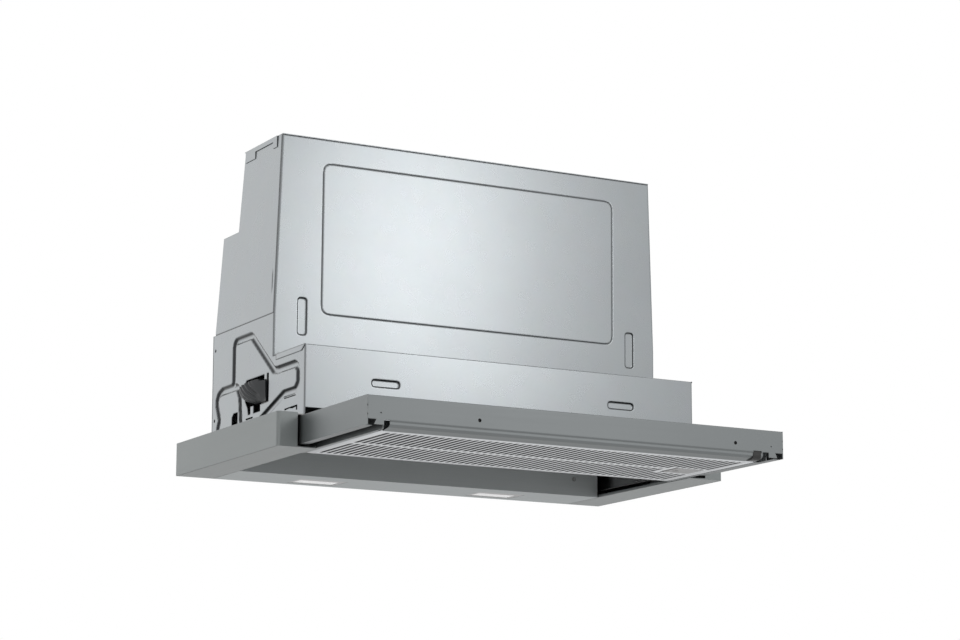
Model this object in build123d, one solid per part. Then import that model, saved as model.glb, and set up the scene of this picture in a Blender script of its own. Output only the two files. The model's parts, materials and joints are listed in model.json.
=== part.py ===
from build123d import *
import math
import os

# Telescopic cooker hood for a 600 mm wide cabinet, drawn with its drawer pulled out.
# Millimetres. X runs to the right, Y to the wall and Z up. The origin is the middle of the
# frame's bottom back edge, so the wall is the plane Y = 0.
# Most depths are given from the frame's front face: back(d) is the Y of a point d behind it.

# Frame
frame_width = 598.0
frame_depth = 290.0
frame_height = 39.6
frame_sheet = 1.2
frame_corner = 4.0
rail_face = 25.0
side_lip = 48.0
side_lip_turn = 3.2
rear_lip_start = 211.0
rear_wall_inset = 1.5
rear_flange_gap = 1.5
seam_gap = 0.8
seam_depth = 0.6
pilot_radius = 1.4
pilot_height = 27.0
mouth_width = 470.0
mouth_front = 24.0
mouth_rear = 196.0
bracket_leg = 24.0
bracket_sheet = 1.5

# Lamps in the rear lip
lamp_offset = 125.0
lamp_inset = 33.0
lens_shift = 5.0
lens_width = 54.0
lens_depth = 24.0
bezel_width = 64.0
bezel_depth = 40.0
lamp_rise = 8.0
lens_top = 3.3

# Drawer
drawer_width = 542.0
drawer_pull = 167.5
drawer_bottom = 3.7
drawer_top = 36.1
drawer_sheet = 1.0
drawer_wall_length = 283.0
drawer_flange = 9.5
drawer_hem = 5.0
front_face_bottom = 10.0
front_lip_depth = 18.0
front_top_depth = 15.5
corner_cut = 28.0
trim_hole_left = -133.2
trim_hole_right = 204.3
trim_hole_height = 18.1
trim_hole_radius = 2.1
cap_start = 229.4
cap_width = 11.2

# Runners between drawer and deck
runner_length = 204.0
runner_start = 17.5
runner_height = 26.0
runner_bottom = 9.0
runner_sheet = 1.0
runner_width = 11.7
ball_gap = 3.0
ball_radius = 1.4
ball_count = 8

# Filter cassette
filter_length = 187.9
tray_sheet = 0.8
tray_height = 6.8
filter_lift = 0.6
slit_length = 80.0
slit_width = 4.0
slit_pitch = 8.53
slit_count = 55
slit_rib = 8.5
swing_inset = 8.4
swing_height = 4.5
swing_pin_radius = 1.5
rail_clearance = 0.9
rail_lip = 5.0
grid_height = 5.4
mesh_pitch = 6.0
mesh_sheet = 0.5
latch_travel = 4.0
latch_width = 36.0
latch_depth = 36.0
latch_left = 195.0
latch_front = -62.0

# Casing
casing_width = 524.0
casing_front = 8.7
casing_rear = 270.5
casing_sheet = 1.0
step_height = 121.0
upper_front = 95.0
upper_lean = 3.0
seam_height = 171.5
casing_height = 387.7
top_width = 510.6
shelf_height = 290.5
wing_back_low = 208.3
wing_back_top = 198.0
tower_back = 252.5
tower_width = 192.0
middle_back_low = 264.0
lap_height = 7.0
lap_sheet = 0.8
relief_inset = 1.0
relief_width = 35.0
relief_top = 48.0
skirt_drop = 14.2
skirt_step = 5.7
skirt_hook = 13.7
edge_hole_inset = 8.0

# Pressed features of the casing
groove_width = 1.8
groove_depth = 0.5
bead_width = 8.5
bead_depth = 2.5
bead_bend = 5.5
window_half = 201.0
window_low = 175.5
window_high = 357.5
window_radius = 11.0
tall_slot_x = 226.0
tall_slot_low = 147.6
tall_slot_high = 193.0
tall_slot_width = 12.5
wide_slot_x = 159.0
wide_slot_z = 82.8
wide_slot_length = 38.0
wide_slot_height = 11.0
slot_recess = 1.6

# Blower
fan_depth = 168.0
fan_height = 235.0
fan_length = 128.0
impeller_radius = 58.0
blade_depth = 11.0
blade_sheet = 1.8
blade_count = 28
scroll_width = 144.0
scroll_radius = 68.0
scroll_growth = 6.0
scroll_wall = 2.0
inlet_radius = 50.0
mouth_top = 322.0
motor_radius = 40.0
motor_length = 60.0
shaft_radius = 4.0
shaft_clearance = 0.06

# Outlet
duct_radius = 75.0
outlet_depth = 173.0
outlet_wall = 1.4
outlet_proud = 1.0
duct_stop = 372.0
duct_step = 1.1
flap_height = 368.0
flap_sheet = 1.2
flap_radius = 72.0
flap_pin_radius = 1.5
flap_clearance = 0.06
collar_screw_x = 85.0
collar_screw_y = 60.0

# Electrics
capacitor_left = 100.0
capacitor_depth = 130.0
capacitor_height = 330.0
capacitor_radius = 14.0
capacitor_length = 56.0
strap_width = 10.0
box_left = 120.0
box_right = 215.0
box_low = 215.0
box_high = 290.0
box_depth = 34.0
box_wall = 2.0
gland_x = 200.0
gland_depth = 150.0
gland_radius = 10.0
gland_bore = 4.5
switch_left = 205.0
switch_width = 20.0
plunger_radius = 2.0
plunger_height = 21.0

# Side clamps
clamp_pivot_depth = 120.0
clamp_pivot_inset = 10.0
clamp_low = 69.5
clamp_high = 102.5
clamp_pin_radius = 3.0
clamp_clearance = 0.06
clamp_reach = 12.5
jaw_drop = 6.0

screw_radius = 2.0
screw_head = 3.8
fit_gap = 0.1


def back(distance):
    """Y of a point this far behind the frame's front face."""
    return distance - frame_depth


half_frame = frame_width / 2
lamp_depth = frame_depth - lamp_inset
half_drawer = drawer_width / 2
half_casing = casing_width / 2
half_top = top_width / 2
half_tower = tower_width / 2
lip_edge = half_frame - side_lip
rear_wall = back(frame_depth) - frame_sheet
deck_top = frame_height - frame_sheet
deck_bottom = deck_top - frame_sheet
top_under = casing_height - casing_sheet
drawer_front_y = back(-drawer_pull)
rail_outer = lip_edge - rail_clearance + 0.2
rail_inner = rail_outer - drawer_sheet
rail_lip_edge = rail_outer - rail_lip
half_filter = rail_lip_edge - 0.9
filter_front = drawer_front_y + front_lip_depth + 1.2
filter_rear = filter_front + filter_length
filter_bottom = filter_lift
rail_rear = filter_rear + 2.8
runner_outer = rail_outer + runner_width
runner_top = runner_bottom + runner_height
fan_y = back(fan_depth)
outlet_y = back(outlet_depth)


def span(x0, x1, y0, y1, z0, z1):
    """Box between two corners."""
    size = Box(abs(x1 - x0), abs(y1 - y0), abs(z1 - z0))
    return Pos((x0 + x1) / 2, (y0 + y1) / 2, (z0 + z1) / 2) * size


def mirrored(piece):
    """The same piece on the other side of the hood."""
    return mirror(piece, about=Plane.YZ)


def side_prism(points, x0, x1):
    """Outline of (Y, Z) points, extruded from x0 to x1."""
    outline = Plane.YZ.offset(x0) * Polygon(*points, align=None)
    return extrude(outline, x1 - x0, dir=(1, 0, 0))


def front_prism(points, y0, y1):
    """Outline of (X, Z) points, extruded from y0 to y1."""
    outline = Plane.XZ.offset(-y0) * Polygon(*points, align=None)
    return extrude(outline, y1 - y0, dir=(0, 1, 0))


def plan_prism(points, z0, z1):
    """Outline of (X, Y) points, extruded from z0 to z1."""
    outline = Plane.XY.offset(z0) * Polygon(*points, align=None)
    return extrude(outline, z1 - z0, dir=(0, 0, 1))


def bent_side(points, x0, x1, sheet, radius=1.2):
    """Folded sheet: (Y, Z) points along its middle, extruded from x0 to x1."""
    strip = trace(FilletPolyline(*points, radius=radius), line_width=sheet)
    return extrude(Plane.YZ.offset(x0) * strip, x1 - x0, dir=(1, 0, 0))


def rod_x(radius, x0, x1, y, z):
    return Pos((x0 + x1) / 2, y, z) * Rot(0, 90, 0) * Cylinder(radius, abs(x1 - x0))


def rod_y(radius, x, y0, y1, z):
    return Pos(x, (y0 + y1) / 2, z) * Rot(90, 0, 0) * Cylinder(radius, abs(y1 - y0))


def rod_z(radius, x, y, z0, z1):
    return Pos(x, y, (z0 + z1) / 2) * Cylinder(radius, abs(z1 - z0))


def half_width(z):
    """Outer half width of the casing at height z."""
    share = max(0.0, (z - seam_height) / (casing_height - seam_height))
    return half_casing + share * (half_top - half_casing)


def front_y(z):
    """Outer face of the upper front panel at height z."""
    return back(upper_front - upper_lean * (z - step_height) / (casing_height - step_height))


def leaning(origin, x_dir, up, points, sheet):
    """Flat sheet on a leaning plane. Points are (along x_dir, along up)."""
    plane = Plane(origin=origin, x_dir=x_dir, z_dir=Vector(*x_dir).cross(Vector(*up)))
    return extrude(plane * Polygon(*points, align=None), sheet, dir=plane.z_dir)


def groove_ring(outline):
    """Narrow band that follows a closed outline."""
    return offset(outline, groove_width / 2) - offset(outline, -groove_width / 2)


def pressed_pocket(panel, face, outline):
    """Sheet panel with a pocket pressed into it. The face plane's normal points outwards."""
    panel += extrude(face * outline, -(casing_sheet + slot_recess))
    inside = offset(outline, -casing_sheet)
    return panel - extrude(face * inside, -slot_recess)


# Frame

def frame_left_rail():
    """Side rail with its lip. The seam between its side and its lip is a shallow groove."""
    blank = span(-half_frame, -half_frame + rail_face, back(0), rear_wall, 0, frame_height)
    upright = blank.edges().filter_by(Axis.Z).group_by(Axis.X)[0].group_by(Axis.Y)[0]
    blank = fillet(upright, frame_corner)
    inside = span(-half_frame + frame_sheet, -half_frame + rail_face + 1, back(frame_sheet),
                  rear_wall + 1, frame_sheet, frame_height - frame_sheet)
    rail = blank - inside
    rail += span(-half_frame + rail_face - 1, -lip_edge, back(0), rear_wall, 0, frame_sheet)
    rail += span(-lip_edge - frame_sheet, -lip_edge, back(0), rear_wall, 0, side_lip_turn)
    seam = -half_frame + 0.5
    return rail - span(seam, seam + seam_gap, back(frame_corner), rear_wall + 1, -1, seam_depth)


def frame_right_rail():
    pilot = rod_y(pilot_radius, half_frame - 6, back(-1), back(frame_sheet + 1), pilot_height)
    return mirrored(frame_left_rail()) - pilot


def frame_rear_rail():
    """Rear rail with the lamp lip and the wall that closes the frame's opening behind the drawer."""
    rail = span(-half_frame, half_frame, rear_wall, back(frame_depth), 0, frame_height)
    lip_front = back(rear_lip_start)
    lip_half = lip_edge - seam_gap
    rail += span(-lip_half, lip_half, lip_front, rear_wall, 0, frame_sheet)
    wall_half = lip_edge - rear_wall_inset
    rail += span(-wall_half, wall_half, lip_front, lip_front + frame_sheet, 0, deck_bottom - 0.2)
    rail -= rod_y(plunger_radius + 0.6, switch_left + switch_width / 2, lip_front - 1,
                  lip_front + frame_sheet + 1, plunger_height)
    flange_half = half_frame - rail_face
    rail += span(-flange_half, flange_half, back(casing_rear + rear_flange_gap), rear_wall,
                 deck_top, frame_height)
    for side in (-1, 1):
        middle = side * lamp_offset
        rail -= span(middle - bezel_width / 2 - fit_gap, middle + bezel_width / 2 + fit_gap,
                     back(lamp_depth) - bezel_depth / 2 - fit_gap,
                     back(lamp_depth) + bezel_depth / 2 + fit_gap, -1, frame_sheet + 1)
    return rail


def deck_plate():
    edge = half_frame - frame_sheet - fit_gap
    deck = span(-edge, edge, back(frame_sheet + fit_gap), rear_wall - fit_gap, deck_bottom, deck_top)
    mouth = span(-mouth_width / 2, mouth_width / 2, back(mouth_front), back(mouth_rear),
                 deck_bottom - 1, deck_top + 1)
    deck -= mouth
    for x0, x1 in ((-mouth_width / 2 - frame_sheet, -mouth_width / 2),
                   (mouth_width / 2, mouth_width / 2 + frame_sheet)):
        deck += span(x0, x1, back(mouth_front), back(mouth_rear), deck_bottom, deck_top + 5)
    return deck


def frame_corner_brackets():
    wall_x = -half_frame + frame_sheet
    low = 8.0
    high = 30.0
    left = span(wall_x, wall_x + bracket_sheet, rear_wall - bracket_leg, rear_wall, low, high)
    left += span(wall_x, wall_x + bracket_leg, rear_wall - bracket_sheet, rear_wall, low, high)
    return [left, mirrored(left)]


def lamp_housing(side):
    x = side * lamp_offset
    y = back(lamp_depth)
    body_width = lens_width + 4
    body_depth = lens_depth + 6
    lens_y = y + lens_shift
    housing = span(x - bezel_width / 2, x + bezel_width / 2, y - bezel_depth / 2,
                   y + bezel_depth / 2, 0.2, frame_sheet)
    housing += span(x - body_width / 2, x + body_width / 2, lens_y - body_depth / 2,
                    lens_y + body_depth / 2, frame_sheet, lamp_rise)
    ear = 4.0
    housing += span(x - bezel_width / 2 - ear, x + bezel_width / 2 + ear, lens_y - 6, lens_y + 6,
                    frame_sheet, frame_sheet + 1.4)
    housing += span(x - bezel_width / 2 + 2, x + bezel_width / 2 - 2, lens_y - 6, lens_y + 6,
                    0.4, frame_sheet + 1.4)
    housing -= span(x - lens_width / 2 - fit_gap, x + lens_width / 2 + fit_gap,
                    lens_y - lens_depth / 2 - fit_gap, lens_y + lens_depth / 2 + fit_gap,
                    -1, lens_top)
    return housing - span(x - lens_width / 2 + 1.5, x + lens_width / 2 - 1.5,
                          lens_y - lens_depth / 2 + 1.5, lens_y + lens_depth / 2 - 1.5,
                          -1, lamp_rise - 1.5)


def lamp_lens(side):
    x = side * lamp_offset
    y = back(lamp_depth) + lens_shift
    lens = span(x - lens_width / 2, x + lens_width / 2, y - lens_depth / 2, y + lens_depth / 2,
                0.3, lens_top)
    return fillet(lens.edges().filter_by(Axis.Z), 1.5)


# Runners

def runner_outer_left():
    x0 = -runner_outer
    web = span(x0, x0 + runner_sheet, back(runner_start), back(runner_start + runner_length),
               runner_bottom, deck_bottom)
    member = web
    lip_end = x0 + 6.5
    for z0 in (runner_bottom, runner_top - runner_sheet):
        member += span(x0, lip_end, back(runner_start), back(runner_start + runner_length),
                       z0, z0 + runner_sheet)
    member += span(x0, x0 + 9.0, back(runner_start), back(runner_start + runner_length),
                   deck_bottom - runner_sheet, deck_bottom)
    return member


def middle_band():
    """Bottom and top of the middle member."""
    low = runner_bottom + runner_sheet + ball_gap
    high = runner_top - runner_sheet - ball_gap
    return low, high


def ball_cage(x, z, y0, y1):
    """Thin strip that holds a row of balls."""
    strip = span(x - 1.2, x + 1.2, y0, y1, z - 0.4, z + 0.4)
    step = (y1 - y0) / ball_count
    for index in range(ball_count):
        strip += Pos(x, y0 + step * (index + 0.5), z) * Sphere(ball_radius)
    return strip


def runner_middle_left():
    x0 = -runner_outer + runner_sheet + 1.0
    low, high = middle_band()
    shift = drawer_pull / 2
    y0 = back(runner_start - shift)
    y1 = back(runner_start + runner_length - shift)
    member = span(x0, x0 + 0.8, y0, y1, low, high)
    for z0 in (low, high - runner_sheet):
        member += span(x0, x0 + 6.5, y0, y1, z0, z0 + runner_sheet)
    pieces = [member]
    race_front = back(runner_start) + 4
    race_rear = back(runner_start + runner_length - shift) - 4
    for z in (low - ball_gap / 2, high + ball_gap / 2):
        pieces.append(ball_cage(x0 + 3.0, z, race_front, race_rear))
    inner_front = y0 + 4
    inner_rear = back(runner_start + runner_length - drawer_pull) - 4
    for z in (low + runner_sheet + ball_gap / 2, high - runner_sheet - ball_gap / 2):
        pieces.append(ball_cage(x0 + 4.5, z, inner_front, inner_rear))
    return pieces


def runner_drawer_left():
    low, high = middle_band()
    low += runner_sheet + ball_gap
    high -= runner_sheet + ball_gap
    y0 = back(runner_start - drawer_pull)
    y1 = back(runner_start + runner_length - drawer_pull)
    member = span(-rail_outer - runner_sheet, -rail_outer, y0, y1, low, high)
    for z0 in (low, high - runner_sheet):
        member += span(-rail_outer - 8.0, -rail_outer, y0, y1, z0, z0 + runner_sheet)
    return member


# Drawer

def front_profile():
    """Middle line of the drawer front's folded sheet, as (Y, Z) points."""
    half = drawer_sheet / 2
    face = drawer_front_y + half
    top = drawer_top - half
    return [(drawer_front_y + front_top_depth, top - 2),
            (drawer_front_y + front_top_depth, top),
            (face, top),
            (face, front_face_bottom),
            (face + 1.3, front_face_bottom - 1.6),
            (face + 1.3, front_face_bottom - 4.8),
            (face + 4.6, front_face_bottom - 6.8),
            (drawer_front_y + front_lip_depth, filter_bottom + 0.5)]


def drawer_front():
    half = half_drawer - drawer_sheet
    bar = bent_side(front_profile(), -half, half, drawer_sheet, radius=0.9)
    lip_rear = drawer_front_y + front_lip_depth + 2
    inner = half_drawer - corner_cut
    for side in (-1, 1):
        bar -= span(side * inner, side * (half_drawer + 1), drawer_front_y - 1, lip_rear,
                    -1, front_face_bottom)
        tab = front_prism([(side * (rail_outer + 8.7), front_face_bottom + 2),
                           (side * (rail_outer + 12.2), drawer_bottom + 0.6),
                           (side * (rail_outer + 0.4), drawer_bottom + 0.6),
                           (side * (rail_outer + 0.4), front_face_bottom + 2)],
                          drawer_front_y, drawer_front_y + drawer_sheet)
        bar += tab
        bar -= Pos(side * (half_drawer - 16.7), drawer_front_y, 17.2) * Sphere(0.9)
    bar -= span(cap_start - fit_gap, cap_start + cap_width + fit_gap, drawer_front_y - 1,
                lip_rear, -1, front_face_bottom + 1)
    for x in (trim_hole_left, trim_hole_right):
        bar -= rod_y(trim_hole_radius, x, drawer_front_y - 1, drawer_front_y + drawer_sheet + 1,
                     trim_hole_height)
    return bar


def drawer_left_wall():
    x0 = -half_drawer
    rear = drawer_front_y + drawer_wall_length + 1
    wall = span(x0, x0 + drawer_sheet, drawer_front_y, rear, drawer_bottom, drawer_top)
    wall += span(x0, x0 + drawer_flange, drawer_front_y + 7.5, rear, drawer_bottom,
                 drawer_bottom + drawer_sheet)
    wall += span(x0, x0 + drawer_hem, drawer_front_y + front_top_depth + 1, rear,
                 drawer_top - drawer_sheet, drawer_top)
    wall += span(x0, x0 + 9, drawer_front_y + drawer_sheet,
                 drawer_front_y + 2 * drawer_sheet, 12, 33)
    for z in (15.0, 24.6):
        wall -= rod_y(1.0, x0 + 1.0, drawer_front_y - 1, drawer_front_y + drawer_sheet, z)
    return wall


def filter_rail_left():
    """Left rail that carries the cassette's hinge pins."""
    front = drawer_front_y + drawer_sheet
    top = drawer_top - 3
    rail = span(-rail_outer, -rail_inner, front, rail_rear, filter_bottom, top)
    rail -= span(-rail_outer - 1, -rail_inner + 1, front - 1, front + 3, 0, front_face_bottom + 2)
    rail += span(-rail_outer, -rail_lip_edge, filter_front, rail_rear, filter_bottom,
                 filter_bottom + drawer_sheet)
    rail += span(-rail_outer, -rail_inner + 9, drawer_front_y + front_top_depth + 1, rail_rear,
                 top - drawer_sheet, top)
    pivot_x = -half_filter + swing_inset
    for y0, y1 in ((filter_front - 3.4, filter_front - 0.8), (filter_rear + 0.4, rail_rear)):
        rail += span(-rail_inner - 0.5, pivot_x + 5, y0, y1, swing_height - 2.3, 12)
        rail -= rod_y(swing_pin_radius + 0.08, pivot_x, y0 - 1, y1 + 1, swing_height)
    return rail


def filter_rail_right():
    front = drawer_front_y + drawer_sheet
    top = drawer_top - 3
    rail = span(rail_inner, rail_outer, front, rail_rear, filter_bottom, top)
    rail -= span(rail_inner - 1, rail_outer + 1, front - 1, front + 3, 0, front_face_bottom + 2)
    rail += span(rail_lip_edge, rail_outer, filter_front, rail_rear, filter_bottom,
                 filter_bottom + drawer_sheet)
    rail += span(rail_inner - 9, rail_outer, drawer_front_y + front_top_depth + 1, rail_rear,
                 top - drawer_sheet, top)
    return rail


def drawer_rear_bar():
    rear = rail_rear - 0.5
    front = rear - 15
    low = 16.5
    high = 25.5
    return bent_side([(front, low), (front, high), (rear, high), (rear, low)],
                     -rail_inner + fit_gap, rail_inner - fit_gap, drawer_sheet)


def front_lip_cap():
    x1 = cap_start + cap_width
    cap = span(cap_start, x1, drawer_front_y + drawer_sheet, drawer_front_y + front_lip_depth - 2,
               filter_bottom + 0.2, front_face_bottom + 3)
    lower = cap.edges().filter_by(Axis.X).group_by(Axis.Z)[0].group_by(Axis.Y)[0]
    return fillet(lower, 5.5)


# Filter cassette

def filter_centre():
    return (filter_front + filter_rear) / 2


def latch_window():
    """Opening in the tray for the latch, as x0, x1, y0, y1."""
    y0 = back(latch_front)
    return (latch_left - latch_travel - 0.5, latch_left + latch_width + 0.3,
            y0 - 0.3, y0 + latch_depth + 0.3)


def filter_grille():
    y0 = filter_front
    y1 = filter_rear
    floor = filter_bottom + tray_sheet
    tray = span(-half_filter, half_filter, y0, y1, filter_bottom, filter_bottom + tray_height)
    tray -= span(-half_filter + tray_sheet, half_filter - tray_sheet, y0 + tray_sheet,
                 y1 - tray_sheet, floor, filter_bottom + tray_height + 1)
    slits = Sketch() + GridLocations(slit_pitch, slit_length + slit_rib, slit_count, 2) * SlotOverall(
        slit_length, slit_width, rotation=90)
    cut = extrude(Plane((0, filter_centre(), filter_bottom - 1)) * slits, tray_sheet + 2)
    x0, x1, w0, w1 = latch_window()
    rim = span(x0 - 3, x1 + 3, w0 - 3, w1 + 3, filter_bottom, floor)
    tray = tray - cut + rim
    tray -= span(x0, x1, w0, w1, filter_bottom - 1, floor + 1)
    middle = (w0 + w1) / 2
    tray -= span(half_filter - 3, half_filter + 1, middle - 6, middle + 6, floor, 4.6)
    pivot_x = -half_filter + swing_inset
    tray += rod_y(swing_pin_radius, pivot_x, y0 - 3.0, y0 + tray_sheet / 2, swing_height)
    tray += rod_y(swing_pin_radius, pivot_x, y1 - tray_sheet / 2, rail_rear - 0.2, swing_height)
    return tray


def filter_mesh():
    """Corrugated mesh pad between the tray and the top grid."""
    low = filter_bottom + tray_sheet
    high = filter_bottom + grid_height - mesh_sheet
    edge = half_filter - tray_sheet - 0.2
    count = 2 * round(edge / mesh_pitch)
    wave = [(-edge + 2 * edge * index / count, low if index % 2 == 0 else high)
            for index in range(count + 1)]
    outline = wave + [(x, z + mesh_sheet) for x, z in reversed(wave)]
    mesh = front_prism(outline, filter_front + tray_sheet + 0.2, filter_rear - tray_sheet - 0.2)
    x0, x1, w0, w1 = latch_window()
    return mesh - span(x0 - 2, half_filter, w0 - 3, w1 + 3, 0, 10)


def filter_top_grid():
    inset = tray_sheet
    low = filter_bottom + grid_height
    grid = span(-half_filter + inset, half_filter - inset, filter_front + inset,
                filter_rear - inset, low, low + 0.8)
    columns = 14
    pitch = (2 * half_filter - 24) / columns
    windows = Sketch() + GridLocations(pitch, 56, columns, 3) * Rectangle(pitch - 4, 50)
    return grid - extrude(Plane((0, filter_centre(), low - 1)) * windows, 3)


def filter_latch():
    y0 = back(latch_front)
    x1 = latch_left + latch_width
    low = filter_bottom + 0.1
    plate = span(latch_left, x1, y0, y0 + latch_depth, low, low + 1.3)
    plate = fillet(plate.edges().filter_by(Axis.Z), 3)
    middle = y0 + latch_depth / 2
    plate += span(latch_left + 1, x1 - 1, y0 - 1.5, y0 + latch_depth + 1.5,
                  filter_bottom + tray_sheet + 0.05, low + 1.9)
    plate += span(x1 - 10, x1, middle - 8, middle + 8, low + 1, 3.9)
    plate += span(x1 - 4, rail_lip_edge + 2.5, middle - 5, middle + 5, filter_bottom + 1.3, 3.9)
    return plate - rod_z(4.0, latch_left + 9, middle + 3, 0, 6)


# Casing

def lower_front_panel():
    y0 = back(casing_front)
    panel = span(-half_casing, half_casing, y0, y0 + casing_sheet, deck_top, step_height)
    panel += span(-half_casing, half_casing, y0, back(upper_front), step_height - casing_sheet,
                  step_height)
    lap = [(y0, step_height), (y0, step_height - 1), (y0 + 9, step_height - lap_height),
           (back(upper_front) - 8, step_height - lap_height), (back(upper_front) - 8, step_height)]
    for side in (-1, 1):
        panel += side_prism(lap, side * half_casing, side * (half_casing + lap_sheet))
    panel += span(-half_casing + 2, half_casing - 2, y0, y0 + 14, deck_top, deck_top + casing_sheet)
    for side in (-1, 1):
        outer = side * (half_casing - relief_inset)
        panel -= span(outer, outer - side * relief_width, y0 - 1, y0 + 15, deck_top - 1, relief_top)
    face = Plane.XZ.offset(-y0)
    for side in (-1, 1):
        slot = Pos(side * wide_slot_x, wide_slot_z) * SlotOverall(wide_slot_length, wide_slot_height)
        panel = pressed_pocket(panel, face, slot)
    return panel


def bead_paths():
    """Middle lines of the pressed beads on the left lower side panel, as (depth, height)."""
    arch = [(253, 48), (253, 57), (245, 65), (250, 78), (254.5, 89), (249, 99), (238, 103),
            (204, 103), (204, 150), (193, 157), (156, 157), (143, 147.5), (91.6, 105),
            (83, 102.5), (35, 102.5), (26.5, 96), (26.5, 79), (35, 71), (66, 71), (111, 55.5),
            (132, 48)]
    brace = [(183, 48), (188, 86), (196, 98.5), (243, 98.5)]
    return arch, brace


def bead_band(points, width):
    shifted = [(back(depth), height) for depth, height in points]
    return trace(FilletPolyline(*shifted, radius=bead_bend), line_width=width)


def clamp_opening():
    """Cut-out for the clamp jaw with its tongues, as (Y, Z) points."""
    low = clamp_low - 1.5
    high = clamp_high + 1.5
    outline = [(107, low), (107, high), (112, high), (112, high - 9), (119, high - 9), (119, high),
               (170, high), (173, high - 3), (173, low + 9),
               (166, low), (164, low - 8), (157, low - 8), (157, low + 1), (143, low + 1),
               (143, low - 8), (130, low - 8), (130, low)]
    return [(back(depth), height) for depth, height in outline]


def lower_left_panel():
    outer = -half_casing
    inner = outer + casing_sheet
    y0 = back(casing_front) + casing_sheet
    y1 = back(casing_rear) - casing_sheet
    y_step = back(upper_front) + casing_sheet + 0.05
    outline = [(y0, deck_top), (y0, step_height - casing_sheet), (y_step, step_height - casing_sheet),
               (y_step, seam_height), (y1, seam_height), (y1, deck_top)]
    panel = side_prism(outline, outer, inner)
    for path in bead_paths():
        panel += extrude(Plane.YZ.offset(outer) * bead_band(path, bead_width),
                         bead_depth + casing_sheet, dir=(1, 0, 0))
    for path in bead_paths():
        panel -= extrude(Plane.YZ.offset(outer - 1) * bead_band(path, bead_width - 2 * casing_sheet),
                         bead_depth + 1, dir=(1, 0, 0))
    panel -= side_prism(clamp_opening(), outer - 1, inner + bead_depth + 1)
    short = Plane.YZ.offset(outer) * Pos(back(47.5), 65) * SlotOverall(31, 2)
    panel -= extrude(short, groove_depth)
    for d0, d1, z0, z1 in ((194, 211, 53.5, 67.5), (150, 170, 54.5, 56), (28, 62, 51, 52.2)):
        panel -= span(outer - 1, inner + 1, back(d0), back(d1), z0, z1)
    for height in (66.0, 152.4):
        panel -= rod_x(1.3, outer - 1, inner + 1, back(casing_rear - edge_hole_inset), height)
    return panel


def lower_rear_panel():
    y1 = back(casing_rear)
    panel = span(-half_casing, half_casing, y1 - casing_sheet, y1, deck_top, seam_height)
    panel += span(-half_casing + 1.5, half_casing - 1.5, back(middle_back_low) - 3, y1,
                  seam_height - casing_sheet, seam_height)
    return panel


def upper_front_panel():
    low = step_height - casing_sheet
    rise = casing_height - step_height
    slope = math.hypot(rise, upper_lean) / rise

    def up(z):
        return (z - low) * slope

    top = top_under - 0.02
    outline = [(-half_casing, 0), (half_casing, 0), (half_casing, up(seam_height)),
               (half_width(top), up(top)), (-half_width(top), up(top)),
               (-half_casing, up(seam_height))]
    origin = (0, front_y(low), low)
    panel = leaning(origin, (1, 0, 0), (0, -upper_lean, rise), outline, -casing_sheet)
    face = Plane(origin=origin, x_dir=(1, 0, 0),
                 z_dir=Vector(1, 0, 0).cross(Vector(0, -upper_lean, rise)))
    window = Pos(0, up((window_low + window_high) / 2)) * RectangleRounded(
        2 * window_half, window_high - window_low, window_radius)
    panel -= extrude(face * groove_ring(window), -groove_depth)
    for side in (-1, 1):
        middle = up((tall_slot_low + tall_slot_high) / 2)
        slot = Pos(side * tall_slot_x, middle) * SlotOverall(
            tall_slot_high - tall_slot_low, tall_slot_width, rotation=90)
        panel = pressed_pocket(panel, face, slot)
    return panel


def upper_left_panel():
    rise = casing_height - seam_height
    lean_in = half_casing - half_top
    slope = math.hypot(rise, lean_in) / rise

    def up(z):
        return (z - seam_height) * slope

    gap = casing_sheet + 0.05
    wing_back_under = wing_back_low + (wing_back_top - wing_back_low) * (
        (top_under - shelf_height) / (casing_height - shelf_height))
    outline = [(front_y(seam_height) + gap, 0.04),
               (back(middle_back_low), 0.04),
               (back(tower_back), up(shelf_height)),
               (back(wing_back_low), up(shelf_height)),
               (back(wing_back_under), up(top_under)),
               (front_y(top_under) + gap, up(top_under))]
    panel = leaning((-half_casing, 0, seam_height), (0, 1, 0), (lean_in, 0, rise), outline,
                    casing_sheet)
    slit = span(-half_casing - 1, -half_top, back(111.5), back(112.5), 200, 223)
    return panel - slit


def middle_rear_panel():
    low = seam_height + 0.12
    high = shelf_height - casing_sheet
    rise = shelf_height - low
    run = middle_back_low - tower_back
    slope = math.hypot(rise, run) / rise
    wall = casing_sheet + 0.15
    top = (high - low) * slope
    outline = [(-half_width(low) + wall, 0), (half_width(low) - wall, 0),
               (half_width(high) - wall, top), (-half_width(high) + wall, top)]
    return leaning((0, back(middle_back_low), low), (1, 0, 0), (0, -run, rise), outline,
                   casing_sheet)


def upper_rear_panel():
    """Back of the upper casing: two wings, a deeper tower between them and their shelves."""
    low = shelf_height - casing_sheet
    rise = casing_height - shelf_height
    run = wing_back_low - wing_back_top
    slope = math.hypot(rise, run) / rise
    wall = casing_sheet + 0.15
    top = (top_under - shelf_height) * slope
    wing = [(half_tower - casing_sheet, 0), (half_width(shelf_height) - wall, 0),
            (half_width(top_under) - wall, top), (half_tower - casing_sheet, top)]
    panel = leaning((0, back(wing_back_low), shelf_height), (1, 0, 0), (0, -run, rise), wing,
                    casing_sheet)
    panel += span(half_tower - casing_sheet, half_width(shelf_height) - wall,
                  back(wing_back_low) - 2, back(tower_back), low, shelf_height)
    side = [(back(wing_back_low) - 1, low), (back(tower_back), low), (back(tower_back), top_under),
            (back(wing_back_top) - 1, top_under)]
    panel += side_prism(side, half_tower - casing_sheet, half_tower)
    panel += mirrored(panel)
    panel += span(-half_tower, half_tower, back(tower_back) - casing_sheet, back(tower_back),
                  low, top_under)
    return panel


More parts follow.
